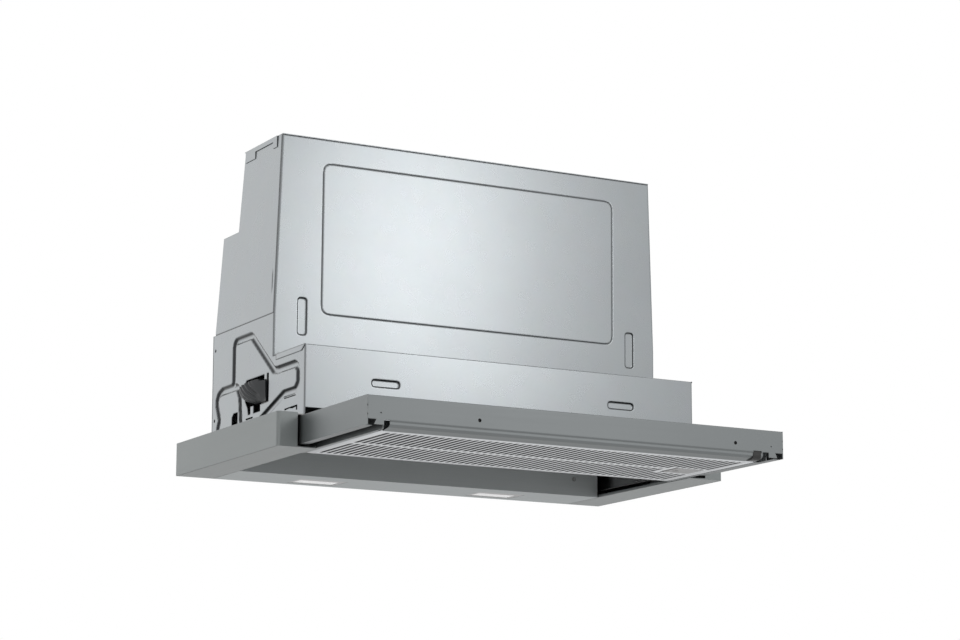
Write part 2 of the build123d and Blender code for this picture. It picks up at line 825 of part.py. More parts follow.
def top_panel():
    edge = half_top + 0.5 + lap_sheet
    front = front_y(casing_height)
    outline = [(-half_top, front), (half_top, front), (half_top, back(106)), (edge, back(106)),
               (edge, back(wing_back_top)),
               (half_tower, back(wing_back_top)), (half_tower, back(tower_back)),
               (-half_tower, back(tower_back)), (-half_tower, back(wing_back_top)),
               (-edge, back(wing_back_top)), (-edge, back(106)), (-half_top, back(106))]
    panel = plan_prism(outline, top_under, casing_height)
    hook = casing_height - skirt_hook
    step = casing_height - skirt_step
    low = casing_height - skirt_drop
    skirt = [(back(106), casing_height), (back(106), hook), (back(117), hook), (back(117), step),
             (back(168), step), (back(168), low), (back(196), low), (back(196), casing_height)]
    for side in (-1, 1):
        panel += side_prism(skirt, side * (half_top + 0.5), side * edge)
    panel -= rod_z(duct_radius + outlet_wall + 0.2, 0, outlet_y, top_under - 1, casing_height + 1)
    panel -= rod_z(gland_radius + 0.1, gland_x, back(gland_depth), top_under - 1,
                   casing_height + 1)
    for x, y in collar_screws():
        panel -= rod_z(screw_radius + 0.1, x, y, top_under - 1, casing_height + 1)
    return panel


def cable_gland():
    """Bush for the mains lead in the top panel."""
    x = gland_x
    y = back(gland_depth)
    bush = rod_z(gland_radius, x, y, top_under - 3, casing_height + 2)
    bush += rod_z(gland_radius + 3, x, y, casing_height, casing_height + 2.5)
    bush += rod_z(gland_radius + 2, x, y, top_under - 3.5, top_under)
    return bush - rod_z(gland_bore, x, y, top_under - 10, casing_height + 10)


# Blower

def scroll_outline(grow):
    """Inside of the scroll in (Y, Z) about the shaft, grown outwards by a wall."""
    radius = scroll_radius + grow
    tongue = radius - 5
    angle = math.radians(130)
    tongue_point = (-5 + tongue * math.cos(angle), tongue * math.sin(angle))
    middle = math.radians(155)
    left = ThreePointArc(tongue_point, (-5 + tongue * math.cos(middle), tongue * math.sin(middle)),
                         (-radius, 0))
    bottom = RadiusArc((-radius, 0), (0, -radius), radius)
    if bottom.position_at(0.5).Y > -radius * 0.6:
        bottom = RadiusArc((-radius, 0), (0, -radius), -radius)
    big = radius + scroll_growth
    right = RadiusArc((0, -radius), (big, scroll_growth), big)
    if right.position_at(0.5).Y > -radius * 0.4:
        right = RadiusArc((0, -radius), (big, scroll_growth), -big)
    top = mouth_top - fan_height
    rise = Line((big, scroll_growth), (big, top))
    across = Line((big, top), (tongue_point[0], top))
    drop = Line((tongue_point[0], top), tongue_point)
    return make_face([left, bottom, right, rise, across, drop])


def scroll_left():
    plane = Plane(origin=(-scroll_width / 2, fan_y, fan_height), x_dir=(0, 1, 0), z_dir=(1, 0, 0))
    shell = extrude(plane * scroll_outline(scroll_wall), scroll_width / 2 - 0.05)
    inside = extrude(plane.offset(scroll_wall) * scroll_outline(0), scroll_width)
    shell -= inside
    shell -= rod_x(inlet_radius, -scroll_width, 0, fan_y, fan_height)
    top_open = span(-scroll_width / 2 + scroll_wall, 1, fan_y - 47, fan_y + scroll_radius + scroll_growth,
                    mouth_top - 3, mouth_top + 3)
    return shell - top_open


def inlet_ring_left():
    outer = -scroll_width / 2
    ring = rod_x(inlet_radius + 8, outer - 2, outer, fan_y, fan_height)
    ring += rod_x(inlet_radius - 0.1, outer - 10, outer + 3, fan_y, fan_height)
    ring += Pos(outer - 9, fan_y, fan_height) * Rot(0, 90, 0) * Torus(inlet_radius + 1, 2.5)
    return ring - rod_x(inlet_radius - 2.1, outer - 20, outer + 20, fan_y, fan_height)


def wheel_half(side, hub_length):
    """One of the impeller's two wheels, which stand back to back. side is -1 for the left one."""
    ring_radius = impeller_radius - blade_depth / 2
    blades = Sketch() + PolarLocations(ring_radius, blade_count) * Rectangle(
        blade_depth, blade_sheet, rotation=24)
    start = min(0, side * fan_length / 2)
    plane = Plane(origin=(start, fan_y, fan_height), x_dir=(0, 1, 0), z_dir=(1, 0, 0))
    wheel = extrude(plane * blades, fan_length / 2)
    wheel += rod_x(impeller_radius - 1, min(0, side * 1.5), max(0, side * 1.5), fan_y, fan_height)
    wheel += rod_x(12, min(0, side * hub_length), max(0, side * hub_length), fan_y, fan_height)
    x0 = side * fan_length / 2 - (2 if side > 0 else 0)
    ring = rod_x(impeller_radius + 0.5, x0, x0 + 2, fan_y, fan_height)
    ring -= rod_x(impeller_radius - blade_depth + 1, x0 - 1, x0 + 3, fan_y, fan_height)
    return wheel + ring - rod_x(shaft_radius, -20, 20, fan_y, fan_height)


def impeller():
    return [wheel_half(-1, 14), wheel_half(1, 1.5)]


def motor_span():
    return 8.0, 8.0 + motor_length


def motor_shaft():
    x0, x1 = motor_span()
    shaft = rod_x(shaft_radius, -16, x1 + 8, fan_y, fan_height)
    rotor = rod_x(motor_radius * 0.55, x0 + 16, x1 - 16, fan_y, fan_height)
    return shaft + rotor


def motor_can():
    x0, x1 = motor_span()
    can = rod_x(motor_radius, x0, x1, fan_y, fan_height)
    can -= rod_x(motor_radius - 2, x0 + 2, x1 - 2, fan_y, fan_height)
    for a, b in ((x0, x0 + 8), (x1 - 8, x1)):
        can += rod_x(11, a, b, fan_y, fan_height)
    return can - rod_x(shaft_radius + shaft_clearance, x0 - 1, x1 + 1, fan_y, fan_height)


def motor_stator():
    x0, x1 = motor_span()
    ring = rod_x(motor_radius - 2.1, x0 + 15, x1 - 15, fan_y, fan_height)
    return ring - rod_x(motor_radius * 0.55 + 0.6, x0, x1, fan_y, fan_height)


def motor_bracket():
    """Spider that carries the motor from the right inlet ring."""
    x1 = motor_span()[1]
    hub = rod_x(18, x1, x1 + 3, fan_y, fan_height) - rod_x(12, x1 - 1, x1 + 4, fan_y, fan_height)
    for index in range(3):
        turn = Pos(0, fan_y, fan_height) * Rot(120 * index + 30, 0, 0)
        hub += turn * span(x1, x1 + 3, -5, 5, 14, inlet_radius)
        hub += turn * span(x1, x1 + 14, -5, 5, inlet_radius - 6, inlet_radius)
    return hub & rod_x(inlet_radius - 2.1, x1 - 5, x1 + 20, fan_y, fan_height)


# Outlet

def collar_screws():
    return [(x, outlet_y + y) for x in (-collar_screw_x, collar_screw_x)
            for y in (-collar_screw_y, collar_screw_y)]


def outlet_collar():
    """Adapter from the scroll's mouth to the round duct, with the seat for the flaps."""
    low = mouth_top + 0.05
    neck = 352.0
    inner_radius = duct_radius - duct_step
    big = scroll_radius + scroll_growth
    tongue_x = -5 + (scroll_radius - 5) * math.cos(math.radians(130))

    def mouth(grow, z):
        y0 = fan_y + tongue_x - grow
        y1 = fan_y + big + grow
        width = scroll_width - 2 * scroll_wall + 2 * grow
        return Pos(0, (y0 + y1) / 2, z) * Rectangle(width, y1 - y0)

    outside = loft([mouth(scroll_wall, low), Pos(0, outlet_y, neck) * Circle(duct_radius + 0.4)])
    inside = loft([mouth(0, low), Pos(0, outlet_y, neck) * Circle(inner_radius)])
    seat_top = flap_height - 4.6 - 0.3
    top = casing_height + outlet_proud
    profile = [(inner_radius, neck), (duct_radius + 0.4, neck), (duct_radius + 0.4, duct_stop - 1.5),
               (duct_radius + outlet_wall, duct_stop - 1.5), (duct_radius + outlet_wall, top),
               (duct_radius, top), (duct_radius, duct_stop), (inner_radius, duct_stop),
               (inner_radius, seat_top), (inner_radius - 6, seat_top),
               (inner_radius - 6, seat_top - 1.1), (inner_radius, seat_top - 1.1)]
    neck_ring = revolve(Plane.XZ * Polygon(*profile, align=None), Axis.Z)
    flange = span(-92, 92, outlet_y - 77.5, outlet_y + 77.5, top_under - 3, top_under)
    flange -= rod_z(duct_radius + 0.5, 0, outlet_y, top_under - 4, top_under + 1)
    collar = (outside - inside) + Pos(0, outlet_y, 0) * neck_ring + flange
    collar -= rod_x(flap_pin_radius + 0.02, -duct_radius - 5, duct_radius + 5, outlet_y, flap_height)
    for x, y in collar_screws():
        collar -= rod_z(screw_radius - 0.2, x, y, top_under - 5, casing_height)
    return collar


def flap_pin():
    return rod_x(flap_pin_radius, -duct_radius, duct_radius, outlet_y, flap_height)


def flap(sides, knuckles):
    """Half-round flap with its knuckles. sides is -1 for the front one and 1 for the rear one."""
    z0 = flap_height - 4.6
    disc = rod_z(flap_radius, 0, outlet_y, z0, z0 + flap_sheet)
    keep = span(-flap_radius, flap_radius, outlet_y + sides * 2.5, outlet_y + sides * 80, z0 - 1,
                z0 + 3)
    plate = disc & keep
    for x0, x1 in knuckles:
        plate += rod_x(flap_pin_radius + 1.6, x0, x1, outlet_y, flap_height)
        plate += span(x0, x1, outlet_y + sides * 1.4, outlet_y + sides * 4.4, z0, flap_height)
    return plate - rod_x(flap_pin_radius + flap_clearance, -90, 90, outlet_y, flap_height)


# Electrics

def capacitor():
    x0 = capacitor_left
    x1 = x0 + capacitor_length
    y = back(capacitor_depth)
    z = capacitor_height
    body = rod_x(capacitor_radius, x0, x1, y, z)
    strap_x = x0 + (capacitor_length - strap_width) / 2
    strap = rod_x(capacitor_radius + 1.2, strap_x, strap_x + strap_width, y, z)
    strap -= rod_x(capacitor_radius + 0.05, x0, x1 + 5, y, z)
    foot = span(strap_x, strap_x + strap_width, front_y(z - 4) + casing_sheet,
                y - capacitor_radius - 0.3, z - 4, z + 4)
    return [body, strap + foot]


def box_outline(inset, y0, y1):
    """Block over the control box's outline, smaller all round by inset."""
    return span(box_left + inset, box_right - inset, y0, y1, box_low + inset, box_high - inset)


def control_box():
    y0 = front_y(box_low) + casing_sheet
    box = box_outline(0, y0, y0 + box_depth)
    return box - box_outline(box_wall, y0 + box_wall, y0 + box_depth + 6)


def lid_holes():
    inset = box_wall + 5
    return [(x, z) for x in (box_left + inset, box_right - inset)
            for z in (box_low + inset, box_high - inset)]


def control_box_lid():
    y0 = front_y(box_low) + casing_sheet + box_depth
    lid = box_outline(-1, y0, y0 + box_wall)
    lid += box_outline(box_wall + 0.2, y0 - 4, y0)
    lid -= box_outline(box_wall + 2, y0 - 5, y0 - 0.5)
    for x, z in lid_holes():
        lid -= rod_y(screw_radius - 0.2, x, y0 - 5, y0 + 3, z)
    return lid


def drawer_switch():
    tip = rail_rear + drawer_pull + 0.6
    right = switch_left + switch_width
    body = span(switch_left, right, tip + 4, tip + 24, 16, 30)
    body += span(switch_left, right, tip + 22, tip + 24, 16, deck_bottom)
    body += span(switch_left, right, tip + 10, tip + 24, deck_bottom - 1.5, deck_bottom)
    return body - rod_y(plunger_radius + 0.1, switch_left + switch_width / 2, tip, tip + 14,
                        plunger_height)


def switch_plunger():
    tip = rail_rear + drawer_pull + 0.6
    return rod_y(plunger_radius, switch_left + switch_width / 2, tip, tip + 11, plunger_height)


# Side clamps

def clamp_pivot():
    return -half_casing + clamp_pivot_inset, back(clamp_pivot_depth)


def clamp_cam_left():
    """Ribbed jaw that swings out against the cabinet's side."""
    x, y = clamp_pivot()
    face = -half_casing
    rim = Spline((face - 1.5, back(113)), (face - 8.5, back(132)), (face - clamp_reach, back(157)),
                 (face - 2.2, back(186)))
    inner = Polyline((face - 2.2, back(186)), (face - 0.7, back(186)), (face - 0.7, back(171)),
                     (face + 2, back(169)), (x + 2, y + 9), (x + 2, y - 6), (face - 1.5, back(113)))
    jaw = extrude(Plane.XY.offset(clamp_low) * make_face([rim, inner]), clamp_high - clamp_low)
    jaw_top = clamp_high - jaw_drop
    profile = [(back(110), clamp_low), (back(138), clamp_low), (back(160), clamp_low + 5),
               (back(176), clamp_low + 13), (back(184), clamp_low + 21), (back(187), jaw_top - 4),
               (back(172), jaw_top), (back(110), jaw_top)]
    jaw &= side_prism(profile, face - 30, face + 30)
    jaw += rod_z(7, x, y, clamp_low, clamp_high)
    jaw -= span(face - 30, face + 1.5, back(105), back(123), clamp_high - 8, clamp_high + 1)
    for index in range(6):
        depth = 140 + 7.5 * index
        reach = clamp_reach - 0.011 * (depth - 157) ** 2
        jaw -= Pos(face - reach - 1.4, back(depth), 0) * Cylinder(2.2, 300)
    return jaw - rod_z(clamp_pin_radius + clamp_clearance, x, y, 0, 200)


def clamp_bracket_left():
    x, y = clamp_pivot()
    inner = -half_casing + casing_sheet
    web_x = x + 11
    bracket = span(web_x, web_x + 1.5, y - 9, y + 9, clamp_low - 2, clamp_high + 2)
    for z0 in (clamp_low - 2, clamp_high + 0.3):
        bracket += span(inner, web_x + 1.5, y - 9, y + 9, z0, z0 + 1.7)
    bracket += span(inner, inner + 1.5, y - 9, y + 9, clamp_high + 0.3, clamp_high + 9)
    bracket += span(inner, inner + 1.5, y - 9, y + 9, clamp_low - 9, clamp_low - 0.3)
    return bracket - rod_z(clamp_pin_radius, x, y, 0, 200)


def clamp_pin_left():
    x, y = clamp_pivot()
    pin = rod_z(clamp_pin_radius, x, y, clamp_low - 4, clamp_high + 4)
    return pin + rod_z(clamp_pin_radius + 1.5, x, y, clamp_high + 2, clamp_high + 4)


# Fasteners

def pan_screw(length):
    """Pan-head screw, head up, with its seat at the origin."""
    screw = Pos(0, 0, 1.1) * Cylinder(screw_head, 2.2)
    screw = fillet(screw.edges().group_by(Axis.Z)[-1], 1.0)
    screw += Pos(0, 0, -length / 2) * Cylinder(screw_radius - 0.2, length)
    for angle in (0, 90):
        screw -= Pos(0, 0, 2.2) * Rot(0, 0, angle) * Box(4.2, 0.9, 2.0)
    return screw


def collar_screw_set():
    return [Pos(x, y, casing_height) * pan_screw(4) for x, y in collar_screws()]


def lid_screw_set():
    y = front_y(box_low) + casing_sheet + box_depth + box_wall
    return [Pos(x, y, z) * Rot(-90, 0, 0) * pan_screw(2.0) for x, z in lid_holes()]


def build():
    left_front = ((-58, -30), (4, 30))
    right_front = ((-28, 2), (32, 58))
    return {
        "frame_left_rail": frame_left_rail(),
        "frame_right_rail": frame_right_rail(),
        "frame_rear_rail": frame_rear_rail(),
        "deck_plate": deck_plate(),
        "frame_corner_brackets": frame_corner_brackets(),
        "lamp_housing_left": lamp_housing(-1),
        "lamp_housing_right": lamp_housing(1),
        "lamp_lens_left": lamp_lens(-1),
        "lamp_lens_right": lamp_lens(1),
        "runner_left_fixed": runner_outer_left(),
        "runner_right_fixed": mirrored(runner_outer_left()),
        "runner_left_middle": runner_middle_left(),
        "runner_right_middle": [mirrored(piece) for piece in runner_middle_left()],
        "runner_left_drawer": runner_drawer_left(),
        "runner_right_drawer": mirrored(runner_drawer_left()),
        "drawer_front": drawer_front(),
        "drawer_left_wall": drawer_left_wall(),
        "drawer_right_wall": mirrored(drawer_left_wall()),
        "filter_rail_left": filter_rail_left(),
        "filter_rail_right": filter_rail_right(),
        "drawer_rear_bar": drawer_rear_bar(),
        "front_lip_cap": front_lip_cap(),
        "filter_grille": filter_grille(),
        "filter_mesh": filter_mesh(),
        "filter_top_grid": filter_top_grid(),
        "filter_latch": filter_latch(),
        "lower_front_panel": lower_front_panel(),
        "lower_left_panel": lower_left_panel(),
        "lower_right_panel": mirrored(lower_left_panel()),
        "lower_rear_panel": lower_rear_panel(),
        "upper_front_panel": upper_front_panel(),
        "upper_left_panel": upper_left_panel(),
        "upper_right_panel": mirrored(upper_left_panel()),
        "middle_rear_panel": middle_rear_panel(),
        "upper_rear_panel": upper_rear_panel(),
        "top_panel": top_panel(),
        "cable_gland": cable_gland(),
        "scroll_left": scroll_left(),
        "scroll_right": mirrored(scroll_left()),
        "inlet_ring_left": inlet_ring_left(),
        "inlet_ring_right": mirrored(inlet_ring_left()),
        "impeller": impeller(),
        "motor_shaft": motor_shaft(),
        "motor_can": motor_can(),
        "motor_stator": motor_stator(),
        "motor_bracket": motor_bracket(),
        "outlet_collar": outlet_collar(),
        "flap_pin": flap_pin(),
        "flap_front": flap(-1, left_front),
        "flap_rear": flap(1, right_front),
        "capacitor": capacitor(),
        "control_box": control_box(),
        "control_box_lid": control_box_lid(),
        "drawer_switch": drawer_switch(),
        "switch_plunger": switch_plunger(),
        "clamp_cam_left": clamp_cam_left(),
        "clamp_cam_right": mirrored(clamp_cam_left()),
        "clamp_brackets": [clamp_bracket_left(), mirrored(clamp_bracket_left())],
        "clamp_pins": [clamp_pin_left(), mirrored(clamp_pin_left())],
        "casing_screws": collar_screw_set() + lid_screw_set(),
    }


os.makedirs("parts", exist_ok=True)
for name, piece in build().items():
    solids = []
    for item in (piece if isinstance(piece, list) else [piece]):
        solids.extend(item.solids())
    shape = solids[0] if len(solids) == 1 else Compound(children=solids)
    export_step(shape, f"parts/{name}.step")
    print(name, len(solids))
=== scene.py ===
import bisect
import json
import math

import bmesh
import bpy
from mathutils import Matrix, Vector


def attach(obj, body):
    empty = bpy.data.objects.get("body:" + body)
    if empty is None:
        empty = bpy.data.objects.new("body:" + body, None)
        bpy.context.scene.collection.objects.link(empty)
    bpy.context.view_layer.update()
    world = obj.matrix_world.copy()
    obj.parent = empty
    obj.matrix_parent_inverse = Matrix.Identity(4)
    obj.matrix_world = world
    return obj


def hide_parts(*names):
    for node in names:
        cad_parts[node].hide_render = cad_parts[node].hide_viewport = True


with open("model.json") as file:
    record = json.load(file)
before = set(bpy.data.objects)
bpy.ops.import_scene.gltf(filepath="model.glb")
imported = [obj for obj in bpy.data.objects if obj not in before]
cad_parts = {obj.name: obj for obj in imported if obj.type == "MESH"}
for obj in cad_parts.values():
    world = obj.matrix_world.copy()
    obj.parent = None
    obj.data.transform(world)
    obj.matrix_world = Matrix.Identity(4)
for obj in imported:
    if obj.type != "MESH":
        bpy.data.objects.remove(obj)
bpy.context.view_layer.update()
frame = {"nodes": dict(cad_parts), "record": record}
print("frame loaded")

millimetre = 0.001
frameDepth = 290.0


def back(depth):
    return depth - frameDepth  # Y in millimetres of a point this far behind the frame's front face


# Node helpers

def addNode(tree, kind, inputs=None, **settings):
    node = tree.nodes.new(kind)
    for key, value in settings.items():
        setattr(node, key, value)
    for key, value in (inputs or {}).items():
        if isinstance(value, bpy.types.NodeSocket):
            tree.links.new(value, node.inputs[key])
        else:
            node.inputs[key].default_value = value
    return node


def maths(tree, operation, first, second=0.0, clamp=False):
    node = addNode(tree, "ShaderNodeMath", {0: first, 1: second}, operation=operation,
                   use_clamp=clamp)
    return node.outputs[0]


def newTree(name, kind, inputs, outputs):
    tree = bpy.data.node_groups.new(name, kind)
    for label, socket, value in inputs:
        item = tree.interface.new_socket(name=label, in_out="INPUT", socket_type=socket)
        if value is not None:
            item.default_value = value
    for label, socket in outputs:
        tree.interface.new_socket(name=label, in_out="OUTPUT", socket_type=socket)
    return tree, tree.nodes.new("NodeGroupInput").outputs, tree.nodes.new("NodeGroupOutput")


def remap(tree, value, low, high, newLow=0.0, newHigh=1.0, style="LINEAR"):
    node = addNode(tree, "ShaderNodeMapRange",
                   {"Value": value, "From Min": low, "From Max": high, "To Min": newLow,
                    "To Max": newHigh}, interpolation_type=style)
    return node.outputs["Result"]


def scaledBy(tree, colour, factor):
    node = addNode(tree, "ShaderNodeVectorMath", {0: colour, "Scale": factor}, operation="SCALE")
    return node.outputs[0]


def blendColour(tree, factor, first, second):
    node = addNode(tree, "ShaderNodeMix", data_type="RGBA")
    for index, value in ((0, factor), (6, first), (7, second)):
        if isinstance(value, bpy.types.NodeSocket):
            tree.links.new(value, node.inputs[index])
        else:
            node.inputs[index].default_value = value
    return node.outputs[2]


def centred(tree, value, amount):
    return maths(tree, "MULTIPLY", maths(tree, "SUBTRACT", value, 0.5), amount)


def objectPlace(tree):
    return addNode(tree, "ShaderNodeTexCoord").outputs["Object"]


def noise(tree, place, scale, detail, **more):
    return addNode(tree, "ShaderNodeTexNoise",
                   {"Vector": place, "Scale": scale, "Detail": detail, **more}).outputs


# Shared shader groups

def makeZincSkin():
    tree, given, result = newTree(
        "zincSkin", "ShaderNodeTree",
        [("Tone", "NodeSocketColor", (0.4, 0.4, 0.4, 1)), ("Flake Scale", "NodeSocketFloat", 70.0),
         ("Flake Amount", "NodeSocketFloat", 0.02), ("Cloud Scale", "NodeSocketFloat", 14.0),
         ("Cloud Amount", "NodeSocketFloat", 0.08), ("Base Roughness", "NodeSocketFloat", 0.40)],
        [("Color", "NodeSocketColor"), ("Roughness", "NodeSocketFloat"),
         ("Height", "NodeSocketFloat")])
    place = objectPlace(tree)
    shift = scaledBy(tree, noise(tree, place, 60.0, 2.0)["Color"], 0.010)
    bent = addNode(tree, "ShaderNodeVectorMath", {0: place, 1: shift}, operation="ADD").outputs[0]
    flakes = addNode(tree, "ShaderNodeTexVoronoi", {"Vector": bent, "Scale": given["Flake Scale"]})
    split = addNode(tree, "ShaderNodeSeparateColor", {0: flakes.outputs["Color"]})
    clouds = noise(tree, place, given["Cloud Scale"], 4.0, Roughness=0.6)
    tints = noise(tree, bent, 48.0, 3.0, Roughness=0.55)
    grain = noise(tree, place, 900.0, 2.0)
    flakeShade = centred(tree, split.outputs[0], given["Flake Amount"])
    cloudShade = centred(tree, clouds[0], given["Cloud Amount"])
    grainShade = centred(tree, grain[0], 0.04)
    shade = maths(tree, "ADD", maths(tree, "ADD", flakeShade, cloudShade),
                  maths(tree, "ADD", grainShade, 1.0))
    hue = addNode(tree, "ShaderNodeVectorMath",
                  {0: tints["Color"], 1: (0.05, 0.035, 0.05), 2: (0.975, 0.983, 0.975)},
                  operation="MULTIPLY_ADD").outputs[0]
    toned = addNode(tree, "ShaderNodeVectorMath", {0: given["Tone"], 1: hue},
                    operation="MULTIPLY").outputs[0]
    tree.links.new(scaledBy(tree, toned, shade), result.inputs["Color"])
    rough = maths(tree, "ADD", given["Base Roughness"],
                  centred(tree, split.outputs[1],
                          maths(tree, "MULTIPLY", given["Flake Amount"], 0.6)))
    tree.links.new(rough, result.inputs["Roughness"])
    tree.links.new(maths(tree, "ADD", maths(tree, "MULTIPLY", clouds[0], 0.7),
                         maths(tree, "MULTIPLY", grain[0], 0.3)), result.inputs["Height"])
    return tree


def makeBrushedSkin():
    tree, given, result = newTree(
        "brushedSkin", "ShaderNodeTree",
        [("Tone", "NodeSocketColor", (0.25, 0.25, 0.25, 1)),
         ("Grain Stretch", "NodeSocketVector", (6.0, 700.0, 700.0)),
         ("Grain Amount", "NodeSocketFloat", 0.10), ("Base Roughness", "NodeSocketFloat", 0.36)],
        [("Color", "NodeSocketColor"), ("Roughness", "NodeSocketFloat"),
         ("Height", "NodeSocketFloat")])
    place = objectPlace(tree)
    stretched = addNode(tree, "ShaderNodeVectorMath", {0: place, 1: given["Grain Stretch"]},
                        operation="MULTIPLY").outputs[0]
    lines = noise(tree, stretched, 1.0, 3.0)
    clouds = noise(tree, place, 9.0, 3.0)
    lineShade = centred(tree, lines[0], given["Grain Amount"])
    cloudShade = centred(tree, clouds[0], 0.10)
    shade = maths(tree, "ADD", maths(tree, "ADD", lineShade, cloudShade), 1.0)
    tree.links.new(scaledBy(tree, given["Tone"], shade), result.inputs["Color"])
    rough = maths(tree, "ADD", given["Base Roughness"], centred(tree, lines[0], 0.14))
    tree.links.new(rough, result.inputs["Roughness"])
    tree.links.new(lines[0], result.inputs["Height"])
    return tree


def makeMouldedSkin():
    tree, given, result = newTree(
        "mouldedSkin", "ShaderNodeTree",
        [("Tone", "NodeSocketColor", (0.05, 0.05, 0.05, 1)), ("Grain Scale", "NodeSocketFloat", 1400.0),
         ("Base Roughness", "NodeSocketFloat", 0.5)],
        [("Color", "NodeSocketColor"), ("Roughness", "NodeSocketFloat"),
         ("Height", "NodeSocketFloat")])
    place = objectPlace(tree)
    grain = noise(tree, place, given["Grain Scale"], 2.0)
    flow = noise(tree, place, 25.0, 3.0)
    shade = maths(tree, "ADD", 0.90, maths(tree, "MULTIPLY", flow[0], 0.20))
    tree.links.new(scaledBy(tree, given["Tone"], shade), result.inputs["Color"])
    rough = maths(tree, "ADD", given["Base Roughness"], centred(tree, grain[0], 0.25))
    tree.links.new(rough, result.inputs["Roughness"])
    tree.links.new(grain[0], result.inputs["Height"])
    return tree


# Lighter edges from a bevel mask broken by noise: worn edges on the metals, and a painted highlight on
# the crests of the clamp's ribs.
def makeEdgeWearAndHighlight():
    tree, given, result = newTree(
        "edgeWearAndHighlight", "ShaderNodeTree",
        [("Radius", "NodeSocketFloat", 0.0012), ("Patchiness", "NodeSocketFloat", 0.6)],
        [("Mask", "NodeSocketFloat"), ("Normal", "NodeSocketVector")])
    soft = addNode(tree, "ShaderNodeBevel", {"Radius": given["Radius"]}, samples=4)
    geometry = addNode(tree, "ShaderNodeNewGeometry")
    dot = addNode(tree, "ShaderNodeVectorMath",
                  {0: soft.outputs[0], 1: geometry.outputs["Normal"]}, operation="DOT_PRODUCT")
    edge = remap(tree, dot.outputs["Value"], 0.995, 0.80)
    place = objectPlace(tree)
    patches = noise(tree, place, 180.0, 4.0)
    broken = remap(tree, patches[0], maths(tree, "MULTIPLY", given["Patchiness"], 0.55),
                   0.75)
    tree.links.new(maths(tree, "MULTIPLY", edge, broken, clamp=True), result.inputs["Mask"])
    tree.links.new(soft.outputs[0], result.inputs["Normal"])
    return tree


# Painted shade: ambient occlusion darkens corners, creases and recesses, made uneven by noise.
def makeCavityShade():
    tree, given, result = newTree(
        "cavityShade", "ShaderNodeTree",
        [("Reach", "NodeSocketFloat", 0.006), ("Strength", "NodeSocketFloat", 0.6)],
        [("Mask", "NodeSocketFloat")])
    corner = addNode(tree, "ShaderNodeAmbientOcclusion", {"Distance": given["Reach"]}, samples=6)
    place = objectPlace(tree)
    mottle = noise(tree, place, 70.0, 4.0)
    closed = remap(tree, corner.outputs["AO"], 0.85, 0.25)
    uneven = remap(tree, mottle[0], 0.2, 0.7, 0.6, 1.0)
    mask = maths(tree, "MULTIPLY", maths(tree, "MULTIPLY", closed, uneven), given["Strength"],
                 clamp=True)
    tree.links.new(mask, result.inputs["Mask"])
    return tree


zincSkin = makeZincSkin()
brushedSkin = makeBrushedSkin()
mouldedSkin = makeMouldedSkin()
edgeWearAndHighlight = makeEdgeWearAndHighlight()
cavityShade = makeCavityShade()


def groupNode(tree, group, **values):
    node = tree.nodes.new("ShaderNodeGroup")
    node.node_tree = group
    for key, value in values.items():
        node.inputs[key].default_value = value
    return node


def finishMaterial(material, skin, bumpHeight, wearAndHighlightTone, cavityShadeTone, edgeRadius, cavityShadeReach,
                   cavityShadeStrength, pressed):
    tree = material.node_tree
    shader = tree.nodes["Principled BSDF"]
    wearAndHighlight = groupNode(tree, edgeWearAndHighlight, Radius=edgeRadius, Patchiness=0.6)
    cavityShadeMask = groupNode(tree, cavityShade, Reach=cavityShadeReach, Strength=cavityShadeStrength)
    colour = skin.outputs["Color"]
    # Edge tone: worn edges, and on the clamp a painted highlight.
    if wearAndHighlightTone is not None:
        colour = blendColour(tree, wearAndHighlight.outputs["Mask"], colour, wearAndHighlightTone)
    # Painted shade: the cavity-shade mask blends a dark tone into corners and recesses.
    colour = blendColour(tree, cavityShadeMask.outputs["Mask"], colour, cavityShadeTone)
    # Painted shade: the seam attribute blends near-black into grooves, pressed walls, joints, slits and
    # inner faces.
    if pressed:
        seam = addNode(tree, "ShaderNodeAttribute", attribute_name="seam")
        colour = blendColour(tree, seam.outputs["Fac"], colour, (0.012, 0.012, 0.013, 1))
    tree.links.new(colour, shader.inputs["Base Color"])
    tree.links.new(skin.outputs["Roughness"], shader.inputs["Roughness"])
    bump = addNode(tree, "ShaderNodeBump",
                   {"Height": skin.outputs["Height"], "Normal": wearAndHighlight.outputs["Normal"],
                    "Distance": bumpHeight, "Strength": 0.5})
    tree.links.new(bump.outputs[0], shader.inputs["Normal"])
    return material


def newMaterial(name, metallic, specular=0.5):
    material = bpy.data.materials.new(name)
    material.use_nodes = True
    shader = material.node_tree.nodes["Principled BSDF"]
    shader.inputs["Metallic"].default_value = metallic
    shader.inputs["Specular IOR Level"].default_value = specular
    return material


def grey(level):
    return (level, level, level, 1)


def zincMaterial(name, tone, roughness, pressed=False):
    material = newMaterial(name, 1.0)
    skin = groupNode(material.node_tree, zincSkin, **{"Tone": tone, "Flake Amount": 0.006,
                                                      "Base Roughness": roughness})
    return finishMaterial(material, skin, bumpHeight=0.00002, wearAndHighlightTone=None, cavityShadeTone=grey(0.05),
                          edgeRadius=0.0007, cavityShadeReach=0.007, cavityShadeStrength=0.75, pressed=pressed)


def brushedMaterial(name, tone, roughness, stretch, wearAndHighlight=0.35, metallic=1.0, pressed=False):
    material = newMaterial(name, metallic)
    skin = groupNode(material.node_tree, brushedSkin, **{"Tone": tone, "Grain Stretch": stretch,
                                                         "Base Roughness": roughness})
    return finishMaterial(material, skin, bumpHeight=0.00002, wearAndHighlightTone=grey(wearAndHighlight),
                          cavityShadeTone=grey(0.04), edgeRadius=0.0006, cavityShadeReach=0.005,
                          cavityShadeStrength=0.55, pressed=pressed)


